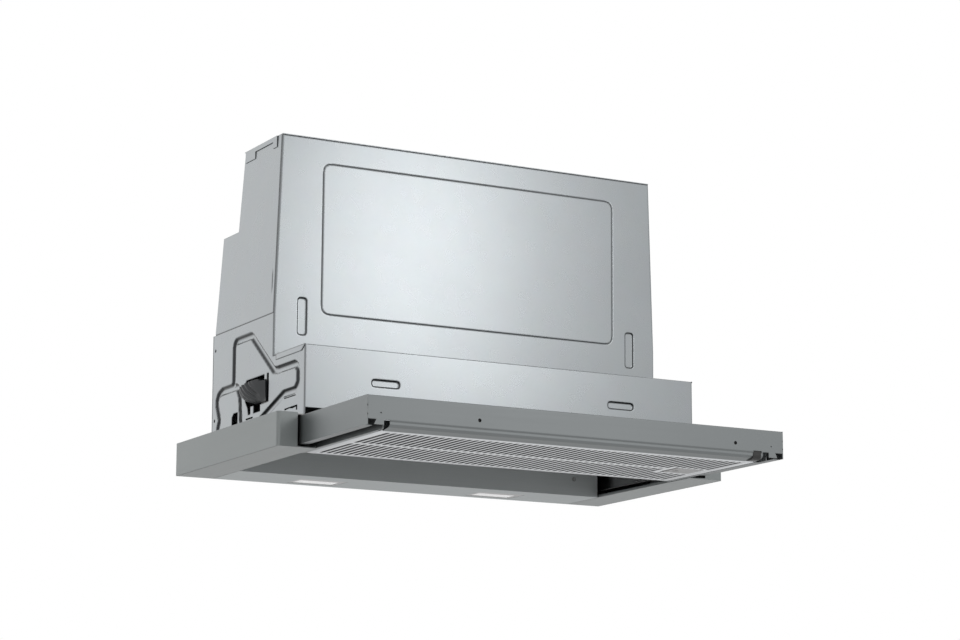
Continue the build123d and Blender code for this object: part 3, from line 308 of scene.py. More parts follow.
def mouldedMaterial(name, tone, roughness, wearAndHighlightTone=None):
    material = newMaterial(name, 0.0, 0.45)
    skin = groupNode(material.node_tree, mouldedSkin, **{"Tone": tone, "Base Roughness": roughness})
    return finishMaterial(material, skin, bumpHeight=0.00003, wearAndHighlightTone=wearAndHighlightTone,
                          cavityShadeTone=grey(0.01), edgeRadius=0.0005, cavityShadeReach=0.004,
                          cavityShadeStrength=0.5, pressed=False)


finishes = {
    "casing_sheet": zincMaterial("casingZinc", (0.283, 0.300, 0.310, 1), 0.275, pressed=True),
    "frame_steel": brushedMaterial("frameSteel", (0.250, 0.269, 0.269, 1), 0.43, (500.0, 5.0, 500.0),
                                   metallic=0.45),
    "drawer_steel": brushedMaterial("drawerSteel", (0.198, 0.211, 0.214, 1), 0.45, (5.0, 500.0, 500.0)),
    "runner_steel": brushedMaterial("runnerSteel", grey(0.32), 0.30, (500.0, 5.0, 500.0)),
    "deck_steel": zincMaterial("deckZinc", grey(0.32), 0.45),
    "filter_aluminium": brushedMaterial("filterAluminium", (0.67, 0.69, 0.71, 1), 0.34,
                                        (400.0, 6.0, 400.0), wearAndHighlight=0.75, pressed=True),
    # Painted shade: the inner mesh is coloured near-black so the slits in front of it read dark.
    "filter_inner": brushedMaterial("filterMeshPaintedShade", grey(0.035), 0.50, (300.0, 300.0, 300.0),
                                    wearAndHighlight=0.05),
    "latch_plastic": mouldedMaterial("latchPlastic", grey(0.40), 0.45),
    # Painted highlight: the lighter edge tone brightens the crests of the clamp's ribs.
    "clamp_plastic": mouldedMaterial("clampPlastic", (0.022, 0.026, 0.029, 1), 0.34,
                                     wearAndHighlightTone=grey(0.30)),
    "cap_plastic": mouldedMaterial("capPlastic", grey(0.030), 0.50),
    "lamp_plastic": mouldedMaterial("lampPlastic", grey(0.50), 0.40),
    "lens_plastic": mouldedMaterial("lensPlastic", grey(0.92), 0.16),
    "fan_plastic": mouldedMaterial("fanPlastic", grey(0.025), 0.45),
    "impeller_plastic": mouldedMaterial("impellerPlastic", grey(0.10), 0.45),
    "motor_steel": zincMaterial("motorZinc", grey(0.36), 0.40),
    "shaft_steel": brushedMaterial("shaftSteel", grey(0.50), 0.22, (5.0, 500.0, 500.0)),
    "copper_winding": brushedMaterial("copperWinding", (0.55, 0.22, 0.09, 1), 0.30,
                                      (900.0, 60.0, 60.0)),
    "collar_plastic": mouldedMaterial("collarPlastic", grey(0.035), 0.48),
    "flap_plastic": mouldedMaterial("flapPlastic", grey(0.06), 0.42),
    "box_plastic": mouldedMaterial("boxPlastic", grey(0.30), 0.50),
    "capacitor_plastic": mouldedMaterial("capacitorPlastic", grey(0.55), 0.35),
    "gland_rubber": mouldedMaterial("glandRubber", grey(0.020), 0.60),
    "screw_steel": brushedMaterial("screwSteel", grey(0.45), 0.28, (300.0, 300.0, 300.0)),
}
# Painted light: a lighter copy of the frame steel, given to the rear rail so its underside reads
# brighter.
rearRailLitSteel = brushedMaterial("rearRailLitSteel", (0.44, 0.468, 0.472, 1), 0.52,
                                (5.0, 500.0, 500.0), metallic=0.40)
# Painted light: the lens glows faintly, which lightens it.
lensShader = finishes["lens_plastic"].node_tree.nodes["Principled BSDF"]
lensShader.inputs["Emission Strength"].default_value = 0.14
print("materials made")

nodeSlots = {entry["node"]: entry["material_slot"] for entry in frame["record"]["subparts"]}
for nodeName, nodeObject in frame["nodes"].items():
    nodeObject.data.materials.clear()
    nodeObject.data.materials.append(rearRailLitSteel if nodeName == "frame_rear_rail"
                                     else finishes[nodeSlots[nodeName]])
print("frame nodes dressed")


# Mesh helpers

def newObject(name, vertices, faces=(), edges=()):
    mesh = bpy.data.meshes.new(name)
    mesh.from_pydata(vertices, list(edges), list(faces))
    made = bpy.data.objects.new(name, mesh)
    bpy.context.collection.objects.link(made)
    return made


def loftFaces(count, levels, closed=False):
    faces = []
    for level in range(levels if closed else levels - 1):
        upper = (level + 1) % levels
        for index in range(count):
            after = (index + 1) % count
            faces.append((level * count + index, level * count + after,
                          upper * count + after, upper * count + index))
    return faces


# Painted shade: per-point darkness for the seam attribute, which finishMaterial blends towards
# near-black.
def storePaintedShade(piece, values):
    piece.data.attributes.new("seam", "FLOAT", "POINT").data.foreach_set("value", values)
    return piece


def discard(*objects):
    for old in objects:
        mesh = old.data
        bpy.data.objects.remove(old)
        if mesh.users == 0:
            bpy.data.meshes.remove(mesh)


def settle(piece):
    piece.update_tag()
    bpy.context.view_layer.update()
    graph = bpy.context.evaluated_depsgraph_get()
    result = bpy.data.meshes.new_from_object(piece.evaluated_get(graph))
    old = piece.data
    piece.modifiers.clear()
    piece.data = result
    if old.users == 0:
        bpy.data.meshes.remove(old)
    return piece


def joined(name, parts):
    vertices = []
    faces = []
    paintedShades = []
    for part in parts:
        mesh = part.data
        first = len(vertices)
        vertices += [vertex.co.copy() for vertex in mesh.vertices]
        faces += [[first + index for index in face.vertices] for face in mesh.polygons]
        layer = mesh.attributes.get("seam")
        paintedShades += [item.value for item in layer.data] if layer else [0.0] * len(mesh.vertices)
    piece = newObject(name, vertices, faces)
    discard(*parts)
    return storePaintedShade(piece, paintedShades)


def mirroredCopy(piece, name):
    mesh = piece.data.copy()
    mesh.transform(Matrix.Scale(-1, 4, Vector((1, 0, 0))))
    mesh.flip_normals()
    copy = bpy.data.objects.new(name, mesh)
    bpy.context.collection.objects.link(copy)
    return copy


def finishPiece(piece, body, slot, *replaced, angle=32.0):
    piece.data.transform(Matrix.Scale(millimetre, 4))
    piece.data.materials.clear()
    piece.data.materials.append(finishes[slot])
    piece.data.shade_smooth()
    piece.data.set_sharp_from_angle(angle=math.radians(angle))
    piece.data.update()
    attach(piece, body)
    if replaced:
        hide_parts(*replaced)
    return piece


def roundedPath(points, radius, closed=False, steps=5):
    result = []
    count = len(points)
    for index, point in enumerate(points):
        if not closed and index in (0, count - 1):
            result.append(Vector(point))
            continue
        corner = Vector(point)
        first = Vector(points[index - 1]) - corner
        second = Vector(points[(index + 1) % count]) - corner
        turn = first.angle(second)
        reach = min(radius / math.tan(turn / 2), first.length * 0.49, second.length * 0.49)
        start = corner + first.normalized() * reach
        finish = corner + second.normalized() * reach
        for step in range(steps + 1):
            share = step / steps
            result.append(start * (1 - share) ** 2 + corner * 2 * share * (1 - share)
                          + finish * share ** 2)
    return result


def roundedSlot(centre, width, height, radius):
    corners = [(centre[0] + x * width / 2, centre[1] + y * height / 2)
               for x, y in ((-1, -1), (1, -1), (1, 1), (-1, 1))]
    return roundedPath(corners, radius, closed=True)


def circle(centre, radius, steps=20):
    return [Vector((centre[0] + radius * math.cos(2 * math.pi * step / steps),
                    centre[1] + radius * math.sin(2 * math.pi * step / steps)))
            for step in range(steps)]


def pathObject(name, paths):
    vertices = []
    edges = []
    for points, closed in paths:
        first = len(vertices)
        vertices += [(point[0], point[1], 0) for point in points]
        last = len(vertices) - 1
        edges += [(index, index + 1) for index in range(first, last)]
        if closed:
            edges.append((last, first))
    return newObject(name, vertices, (), edges)


def plateObject(name, outlines):
    vertices = []
    faces = []
    for points in outlines:
        first = len(vertices)
        vertices += [(point[0], point[1], 0) for point in points]
        faces.append(list(range(first, len(vertices))))
    return newObject(name, vertices, faces)


def gridLines(low, high, coarse, zones):
    count = max(1, round((high - low) / coarse))
    lines = {round(low + (high - low) * index / count, 4) for index in range(count + 1)}
    for start, finish, spacing in zones:
        start = max(start, low)
        finish = min(finish, high)
        if finish <= start:
            continue
        steps = max(1, math.ceil((finish - start) / spacing))
        lines = {line for line in lines
                 if not (start - spacing * 0.6 < line < finish + spacing * 0.6)
                 or line in (low, high)}
        lines |= {round(start + (finish - start) * index / steps, 4) for index in range(steps + 1)}
    ordered = sorted(lines)
    return [line for index, line in enumerate(ordered)
            if index == 0 or line - ordered[index - 1] > 0.05]


def flatSheet(name, across, upward, thickness):
    columns = len(across)
    rows = len(upward)
    vertices = [(u, v, w) for w in (0.0, -thickness) for v in upward for u in across]
    layer = columns * rows
    faces = []
    for row in range(rows - 1):
        for column in range(columns - 1):
            corner = row * columns + column
            face = (corner, corner + 1, corner + columns + 1, corner + columns)
            faces.append(face)
            faces.append(tuple(index + layer for index in reversed(face)))
    rim = ([column for column in range(columns)]
           + [row * columns + columns - 1 for row in range(1, rows)]
           + [(rows - 1) * columns + column for column in range(columns - 2, -1, -1)]
           + [row * columns for row in range(rows - 2, 0, -1)])
    for index, corner in enumerate(rim):
        after = rim[(index + 1) % len(rim)]
        faces.append((after, corner, corner + layer, after + layer))
    return newObject(name, vertices, faces)


def prismObject(name, outline, low, high):
    count = len(outline)
    area = 0.0
    for first, second in zip(outline, list(outline[1:]) + [outline[0]]):
        area += first[0] * second[1] - second[0] * first[1]
    points = list(outline) if area > 0 else list(reversed(outline))
    vertices = [(p[0], p[1], low) for p in points] + [(p[0], p[1], high) for p in points]
    faces = [tuple(range(count - 1, -1, -1)), tuple(range(count, 2 * count))]
    faces += [(i, (i + 1) % count, (i + 1) % count + count, i + count) for i in range(count)]
    return newObject(name, vertices, faces)


def trimmed(piece, outline, holes=(), reach=12.0):
    cutters = []
    if outline:
        cutters.append((prismObject("keep", outline, -reach, reach), "INTERSECT"))
    if holes:
        cutters.append((joined("holes", [prismObject("hole", hole, -reach, reach)
                                         for hole in holes]), "DIFFERENCE"))
    for cutter, operation in cutters:
        modifier = piece.modifiers.new("trim", "BOOLEAN")
        modifier.solver = "EXACT"
        modifier.operation = operation
        modifier.object = cutter
    settle(piece)
    discard(*[cutter for cutter, operation in cutters])
    return piece


# Painted shade: points on the sheet's inner face get near-black through the seam attribute.
def paintShadeInside(piece, level, darkness=0.88):
    mesh = piece.data
    layer = mesh.attributes.get("seam") or mesh.attributes.new("seam", "FLOAT", "POINT")
    layer.data.foreach_set("value", [darkness if vertex.co.z < level else 0.0
                                     for vertex in mesh.vertices])
    return piece


def makePressTree(target):
    tree, given, result = newTree(
        "pressedLine" + target.title(), "GeometryNodeTree",
        [("Geometry", "NodeSocketGeometry", None), ("Path", "NodeSocketObject", None),
         ("Floor Half Width", "NodeSocketFloat", 0.2), ("Wall Half Width", "NodeSocketFloat", 1.0),
         ("Depth", "NodeSocketFloat", 0.5), ("Darkness", "NodeSocketFloat", 0.5),
         ("Shaded From", "NodeSocketVector", (0.6, -0.8, 0.0)),
         ("Also Shaded From", "NodeSocketVector", (0.6, -0.8, 0.0)),
         ("Side Shade", "NodeSocketFloat", 0.5), ("Shade Start", "NodeSocketFloat", 0.3),
         ("Shade Full", "NodeSocketFloat", 1.2), ("Crease", "NodeSocketFloat", 0.0),
         ("Material", "NodeSocketMaterial", None)],
        [("Geometry", "NodeSocketGeometry")])
    path = addNode(tree, "GeometryNodeObjectInfo", {"Object": given["Path"]},
                   transform_space="ORIGINAL")
    place = addNode(tree, "GeometryNodeInputPosition").outputs[0]
    flat = addNode(tree, "ShaderNodeVectorMath", {0: place, 1: (1, 1, 0)},
                   operation="MULTIPLY").outputs[0]
    near = addNode(tree, "GeometryNodeProximity",
                   {"Geometry": path.outputs["Geometry"], "Sample Position": flat},
                   target_element=target)
    depthShare = remap(tree, near.outputs["Distance"], given["Floor Half Width"],
                       given["Wall Half Width"], 1.0, 0.0, "SMOOTHSTEP")
    away = addNode(tree, "ShaderNodeVectorMath", {0: flat, 1: near.outputs["Position"]},
                   operation="SUBTRACT").outputs[0]
    facing = addNode(tree, "ShaderNodeVectorMath", {0: away}, operation="NORMALIZE").outputs[0]
    wallFaces = scaledBy(tree, facing, -1.0)
    first, second = [addNode(tree, "ShaderNodeVectorMath", {0: wallFaces, 1: given[label]},
                             operation="DOT_PRODUCT").outputs["Value"]
                     for label in ("Shaded From", "Also Shaded From")]
    toward = maths(tree, "MAXIMUM", maths(tree, "MAXIMUM", first, second), 0.0)
    # Painted shade stored in seam: groove floors darken by Darkness, walls facing the Shaded From
    # directions darken by Side Shade, and Crease adds a thin dark line near the wall's outer edge.
    crease = remap(tree, maths(tree, "ABSOLUTE", maths(tree, "SUBTRACT", depthShare, 0.16)),
                   0.0, 0.16, given["Crease"], 0.0)
    beyondMiddle = remap(tree, maths(tree, "MULTIPLY", toward, near.outputs["Distance"]),
                         given["Shade Start"], given["Shade Full"])
    lowered = remap(tree, depthShare, 0.0, 0.10)
    sided = maths(tree, "MAXIMUM", crease,
                  maths(tree, "MULTIPLY", maths(tree, "MULTIPLY", beyondMiddle, lowered),
                        given["Side Shade"]))
    even = maths(tree, "MULTIPLY", depthShare, given["Darkness"])
    before = addNode(tree, "GeometryNodeInputNamedAttribute", {"Name": "seam"},
                     data_type="FLOAT").outputs["Attribute"]
    shade = maths(tree, "MAXIMUM", before, maths(tree, "ADD", sided, even), clamp=True)
    marked = addNode(tree, "GeometryNodeStoreNamedAttribute",
                     {"Geometry": given["Geometry"], "Name": "seam", "Value": shade},
                     data_type="FLOAT", domain="POINT")
    drop = addNode(tree, "ShaderNodeCombineXYZ",
                   {"Z": maths(tree, "MULTIPLY", depthShare,
                               maths(tree, "MULTIPLY", given["Depth"], -1.0))})
    moved = addNode(tree, "GeometryNodeSetPosition",
                    {"Geometry": marked.outputs[0], "Offset": drop.outputs[0]})
    whole = addNode(tree, "GeometryNodeRealizeInstances", {"Geometry": moved.outputs[0]})
    coated = addNode(tree, "GeometryNodeSetMaterial",
                     {"Geometry": whole.outputs[0], "Material": given["Material"]})
    tree.links.new(coated.outputs[0], result.inputs[0])
    return tree


pressTrees = {target: makePressTree(target) for target in ("EDGES", "FACES")}


def runTree(piece, tree, **values):
    modifier = piece.modifiers.new(tree.name, "NODES")
    modifier.node_group = tree
    sockets = {item.name: item.identifier for item in tree.interface.items_tree
               if item.in_out == "INPUT"}
    for label, value in values.items():
        modifier[sockets[label.replace("_", " ")]] = value
    return piece


# Painted shade: darkness, sideShade and crease set how dark the pressed line is painted.
def press(piece, path, floorHalf, wallHalf, depth, darkness=0.0, sideShade=0.0,
          shadedFrom=(0.6, -0.8, 0.0), alsoFrom=(0.6, -0.8, 0.0), crease=0.0, shadeStart=0.3,
          shadeFull=1.2):
    target = "FACES" if len(path.data.polygons) else "EDGES"
    runTree(piece, pressTrees[target], Path=path, Floor_Half_Width=floorHalf,
            Wall_Half_Width=wallHalf, Depth=depth, Darkness=darkness, Side_Shade=sideShade,
            Shaded_From=shadedFrom, Also_Shaded_From=alsoFrom, Crease=crease,
            Shade_Start=shadeStart, Shade_Full=shadeFull,
            Material=finishes["casing_sheet"])
    settle(piece)
    discard(path)
    return piece


def placeFlat(piece, origin, along, upward):
    along = Vector(along).normalized()
    upward = Vector(upward).normalized()
    outward = along.cross(upward)
    turn = Matrix((along, upward, outward)).transposed().to_4x4()
    piece.data.transform(Matrix.Translation(origin) @ turn)
    return piece


def runLengths(profile):
    lengths = [0.0]
    for first, second in zip(profile, profile[1:]):
        lengths.append(lengths[-1] + (second - first).length)
    return lengths


def lengthAtHeight(profile, height):
    for start, first, second in zip(runLengths(profile), profile, profile[1:]):
        if first.y <= height <= second.y and second.y - first.y > 0.01:
            share = (height - first.y) / (second.y - first.y)
            return start + share * (second - first).length
    return 0.0


def placeRolled(piece, profile):
    lengths = runLengths(profile)
    turns = []
    for index, point in enumerate(profile):
        before = profile[max(0, index - 1)]
        after = profile[min(len(profile) - 1, index + 1)]
        along = (after - before).normalized()
        turns.append(Vector((-along.y, along.x)))
    for vertex in piece.data.vertices:
        x, run, height = vertex.co
        spot = min(max(bisect.bisect_right(lengths, run) - 1, 0), len(profile) - 2)
        share = (run - lengths[spot]) / (lengths[spot + 1] - lengths[spot])
        base = profile[spot].lerp(profile[spot + 1], share)
        outward = turns[spot].lerp(turns[spot + 1], share).normalized() * height
        vertex.co = (x, base.x + outward.x, base.y + outward.y)
    return piece


def makeRowTree():
    tree, given, result = newTree(
        "rowOfCopies", "GeometryNodeTree",
        [("Geometry", "NodeSocketGeometry", None), ("Copy", "NodeSocketObject", None),
         ("Count", "NodeSocketInt", 10), ("Start", "NodeSocketVector", (0, 0, 0)),
         ("Step", "NodeSocketVector", (1, 0, 0)), ("Weld", "NodeSocketFloat", 0.01),
         ("Material", "NodeSocketMaterial", None)],
        [("Geometry", "NodeSocketGeometry")])
    line = addNode(tree, "GeometryNodeMeshLine",
                   {"Count": given["Count"], "Start Location": given["Start"],
                    "Offset": given["Step"]})
    shape = addNode(tree, "GeometryNodeObjectInfo", {"Object": given["Copy"]},
                    transform_space="ORIGINAL")
    copies = addNode(tree, "GeometryNodeInstanceOnPoints",
                     {"Points": line.outputs[0], "Instance": shape.outputs["Geometry"]})
    whole = addNode(tree, "GeometryNodeRealizeInstances", {"Geometry": copies.outputs[0]})
    welded = addNode(tree, "GeometryNodeMergeByDistance",
                     {"Geometry": whole.outputs[0], "Distance": given["Weld"]})
    both = tree.nodes.new("GeometryNodeJoinGeometry")
    tree.links.new(given["Geometry"], both.inputs[0])
    tree.links.new(welded.outputs[0], both.inputs[0])
    coated = addNode(tree, "GeometryNodeSetMaterial",
                     {"Geometry": both.outputs[0], "Material": given["Material"]})
    tree.links.new(coated.outputs[0], result.inputs[0])
    return tree


rowTree = makeRowTree()


def repeatAlong(piece, copy, count, start, step, slot):
    runTree(piece, rowTree, Copy=copy, Count=count, Start=start, Step=step,
            Material=finishes[slot])
    return settle(piece)


# Casing sheets

casing = {"halfWidth": 262.0, "halfTop": 255.3, "front": 8.7, "rear": 270.5, "sheet": 1.0,
          "step": 121.0, "upperFront": 95.0, "lean": 3.0, "seam": 171.5, "top": 387.7,
          "shelf": 290.5, "deckTop": 38.4, "middleBack": 264.0, "towerBack": 252.5,
          "wingLow": 208.3, "wingTop": 198.0, "edgeRoll": 1.3, "edgeDrop": 0.7}


def halfWidthAt(height):
    share = max(0.0, (height - casing["seam"]) / (casing["top"] - casing["seam"]))
    return casing["halfWidth"] + share * (casing["halfTop"] - casing["halfWidth"])


def upperFrontDepth(height):
    rise = casing["top"] - casing["step"]
    return casing["upperFront"] - casing["lean"] * (height - casing["step"]) / rise


def pressSlots(panel, offset, middle, width, height, radius, depth):
    sizes = {"floor": 0.2, "slope": 1.8, "rim": 0.5}
    shaded = (-0.75, -0.66, 0.0)

    def outlines(inset):
        return [roundedSlot((side * offset, middle), width - 2 * inset, height - 2 * inset,
                            radius - inset) for side in (-1, 1)]

    # Painted shade: slot walls facing left and down are darkened, and the rims get a dark outline.
    press(panel, plateObject("slots", outlines(sizes["slope"])), sizes["floor"], sizes["slope"],
          depth, sideShade=1.5, shadedFrom=shaded, alsoFrom=shaded)
    rims = [(outline, True) for outline in outlines(sizes["rim"])]
    press(panel, pathObject("slotRims", rims), floorHalf=0.4, wallHalf=1.0, depth=0.1,
          darkness=0.85)


def upperFrontPanel():
    sizes = {"grooveHalf": 201.0, "grooveLow": 175.5, "grooveHigh": 357.5, "grooveRadius": 11.0,
             "grooveWidth": 1.9, "grooveDepth": 0.8, "slotX": 226.0, "slotLow": 147.6,
             "slotHigh": 193.0, "slotWidth": 12.5, "slotDepth": 1.6, "slotRadius": 4.5, "fine": 0.7}
    low = casing["step"] - casing["sheet"]
    rise = casing["top"] - casing["step"]
    slope = math.hypot(rise, casing["lean"]) / rise

    def up(height):
        return (height - low) * slope

    top = up(casing["top"] - casing["sheet"] - 0.02)
    half = casing["halfWidth"]
    narrow = halfWidthAt(casing["top"] - casing["sheet"])
    fine = sizes["fine"]
    columns = []
    for side in (-1, 1):
        for near, far in ((half - 8.5, half + 1), (sizes["slotX"] - 7.5, sizes["slotX"] + 7.5),
                          (sizes["grooveHalf"] - 12.5, sizes["grooveHalf"] + 2)):
            columns.append((min(side * near, side * far), max(side * near, side * far), fine))
    slotLow = up(sizes["slotLow"])
    slotHigh = up(sizes["slotHigh"])
    rows = [(0, 2.5, fine), (slotLow - 1, slotLow + 8, fine), (slotHigh - 8, slotHigh + 1, fine),
            (up(sizes["grooveLow"]) - 2, up(sizes["grooveLow"]) + 12.5, fine),
            (up(sizes["grooveHigh"]) - 12.5, up(sizes["grooveHigh"]) + 2, fine),
            (top - 2.5, top + 1, fine)]
    panel = flatSheet("upperFrontPanel", gridLines(-half, half, 12, columns),
                      gridLines(0, top, 12, rows), casing["sheet"])
    outline = [(-half, 0), (half, 0), (half, up(casing["seam"])), (narrow, top), (-narrow, top),
               (-half, up(casing["seam"]))]
    grown = [(-half - 1, -1), (half + 1, -1), (half, up(casing["seam"])), (narrow, top),
             (narrow - 0.1, top + 1), (-narrow + 0.1, top + 1), (-narrow, top),
             (-half, up(casing["seam"]))]
    trimmed(panel, grown)
    paintShadeInside(panel, -casing["sheet"] / 2)
    frameLine = roundedPath([(-sizes["grooveHalf"], up(sizes["grooveLow"])),
                             (sizes["grooveHalf"], up(sizes["grooveLow"])),
                             (sizes["grooveHalf"], up(sizes["grooveHigh"])),
                             (-sizes["grooveHalf"], up(sizes["grooveHigh"]))],
                            sizes["grooveRadius"], closed=True)
    # Painted shade: the groove is darkened along its line.
    press(panel, pathObject("grooveLine", [(frameLine, True)]), 0.15, sizes["grooveWidth"] / 2,
          sizes["grooveDepth"], darkness=0.72)
    middle = (slotLow + slotHigh) / 2
    pressSlots(panel, sizes["slotX"], middle, sizes["slotWidth"], slotHigh - slotLow,
               sizes["slotRadius"], sizes["slotDepth"])
    # Painted shade: a dark line round the panel's rim.
    press(panel, pathObject("rimLine", [(outline, True)]), 0.0, casing["edgeRoll"],
          casing["edgeDrop"], darkness=0.55)
    placeFlat(panel, (0, back(upperFrontDepth(low)), low), (1, 0, 0), (0, -casing["lean"], rise))
    finishPiece(panel, "hood", "casing_sheet", "upper_front_panel")


def lowerFrontPanel():
    sizes = {"flange": 14.0, "bend": 1.5, "slotX": 159.0, "slotZ": 82.4, "slotLength": 37.0,
             "slotHeight": 9.6, "slotDepth": 1.6, "slotRadius": 4.7, "reliefInset": 1.0,
             "reliefWidth": 35.0, "reliefTop": 48.0, "lapDrop": 7.0, "lapSheet": 0.8,
             "lapReach": 8.0, "lapCorner": 9.0, "fine": 0.7}
    front = back(casing["front"])
    low = casing["deckTop"] + 0.02
    profile = roundedPath([(front + sizes["flange"], low), (front, low), (front, casing["step"]),
                           (back(casing["upperFront"]), casing["step"])], sizes["bend"])
    total = runLengths(profile)[-1]
    half = casing["halfWidth"]
    fine = sizes["fine"]
    slotMiddle = lengthAtHeight(profile, sizes["slotZ"])
    columns = [(-half - 1, -half + 2.5, fine), (half - 2.5, half + 1, fine)]
    for side in (-1, 1):
        for end in (-1, 1):
            middle = side * sizes["slotX"] + end * sizes["slotLength"] / 2
            columns.append((middle - 7.5, middle + 7.5, fine))
    foldRuns = [lengthAtHeight(profile, low + 1.0), lengthAtHeight(profile, casing["step"] - 1.0)]
    rows = [(run - 3.0, run + 3.0, 0.5) for run in foldRuns]
    rows.append((slotMiddle - 6.5, slotMiddle + 6.5, fine))
    panel = flatSheet("lowerFrontPanel", gridLines(-half, half, 12, columns),
                      gridLines(0, total, 12, rows), casing["sheet"])
    notches = []
    for side in (-1, 1):
        outer = side * (half - sizes["reliefInset"])
        inner = outer - side * sizes["reliefWidth"]
        top = lengthAtHeight(profile, sizes["reliefTop"])
        notches.append([(outer, -1), (inner, -1), (inner, top), (outer, top)])
    trimmed(panel, None, notches)
    paintShadeInside(panel, -casing["sheet"] / 2)
    pressSlots(panel, sizes["slotX"], slotMiddle, sizes["slotLength"], sizes["slotHeight"],
               sizes["slotRadius"], sizes["slotDepth"])
    # Painted shade: dark lines along the side edges and the upper fold.
    edges = [([(side * half, 0), (side * half, total)], False) for side in (-1, 1)]
    edges.append(([(-half, foldRuns[1] + 1.2), (half, foldRuns[1] + 1.2)], False))
    press(panel, pathObject("foldLines", edges), floorHalf=0.0, wallHalf=1.1, depth=0.3,
          darkness=0.55)
    placeRolled(panel, profile)
    laps = lapStrips(sizes, front)
    whole = joined("lowerFrontPanel", [panel] + laps)
    finishPiece(whole, "hood", "casing_sheet", "lower_front_panel")


def lapStrips(sizes, front):
    low = casing["step"] - sizes["lapDrop"]
    rear = -back(casing["upperFront"] - sizes["lapReach"])
    corner = -front - sizes["lapCorner"]
    outline = [(-front, casing["step"] - 1), (-front, casing["step"]), (rear, casing["step"]),
               (rear, low), (corner, low)]
    across = gridLines(rear, -front, 4, [])
    upward = gridLines(low, casing["step"], 2, [(low, low + 1.4, 0.35)])
    strip = flatSheet("lap", across, upward, sizes["lapSheet"])
    trimmed(strip, [(-front + 0.5, casing["step"] - 1), (-front - 0.5, casing["step"] + 1),
                    (rear - 1, casing["step"] + 1), (rear - 1, low - 0.01), (corner, low - 0.01)])
    paintShadeInside(strip, -sizes["lapSheet"] / 2)
    # Painted shade: a dark line round the lap strip's rim.
    press(strip, pathObject("lapRim", [(outline, True)]), floorHalf=0.1, wallHalf=0.7,
          depth=0.25, darkness=0.7)
    placeFlat(strip, (-casing["halfWidth"] - sizes["lapSheet"], 0, 0), (0, -1, 0), (0, 0, 1))
    return [strip, mirroredCopy(strip, "lapRight")]


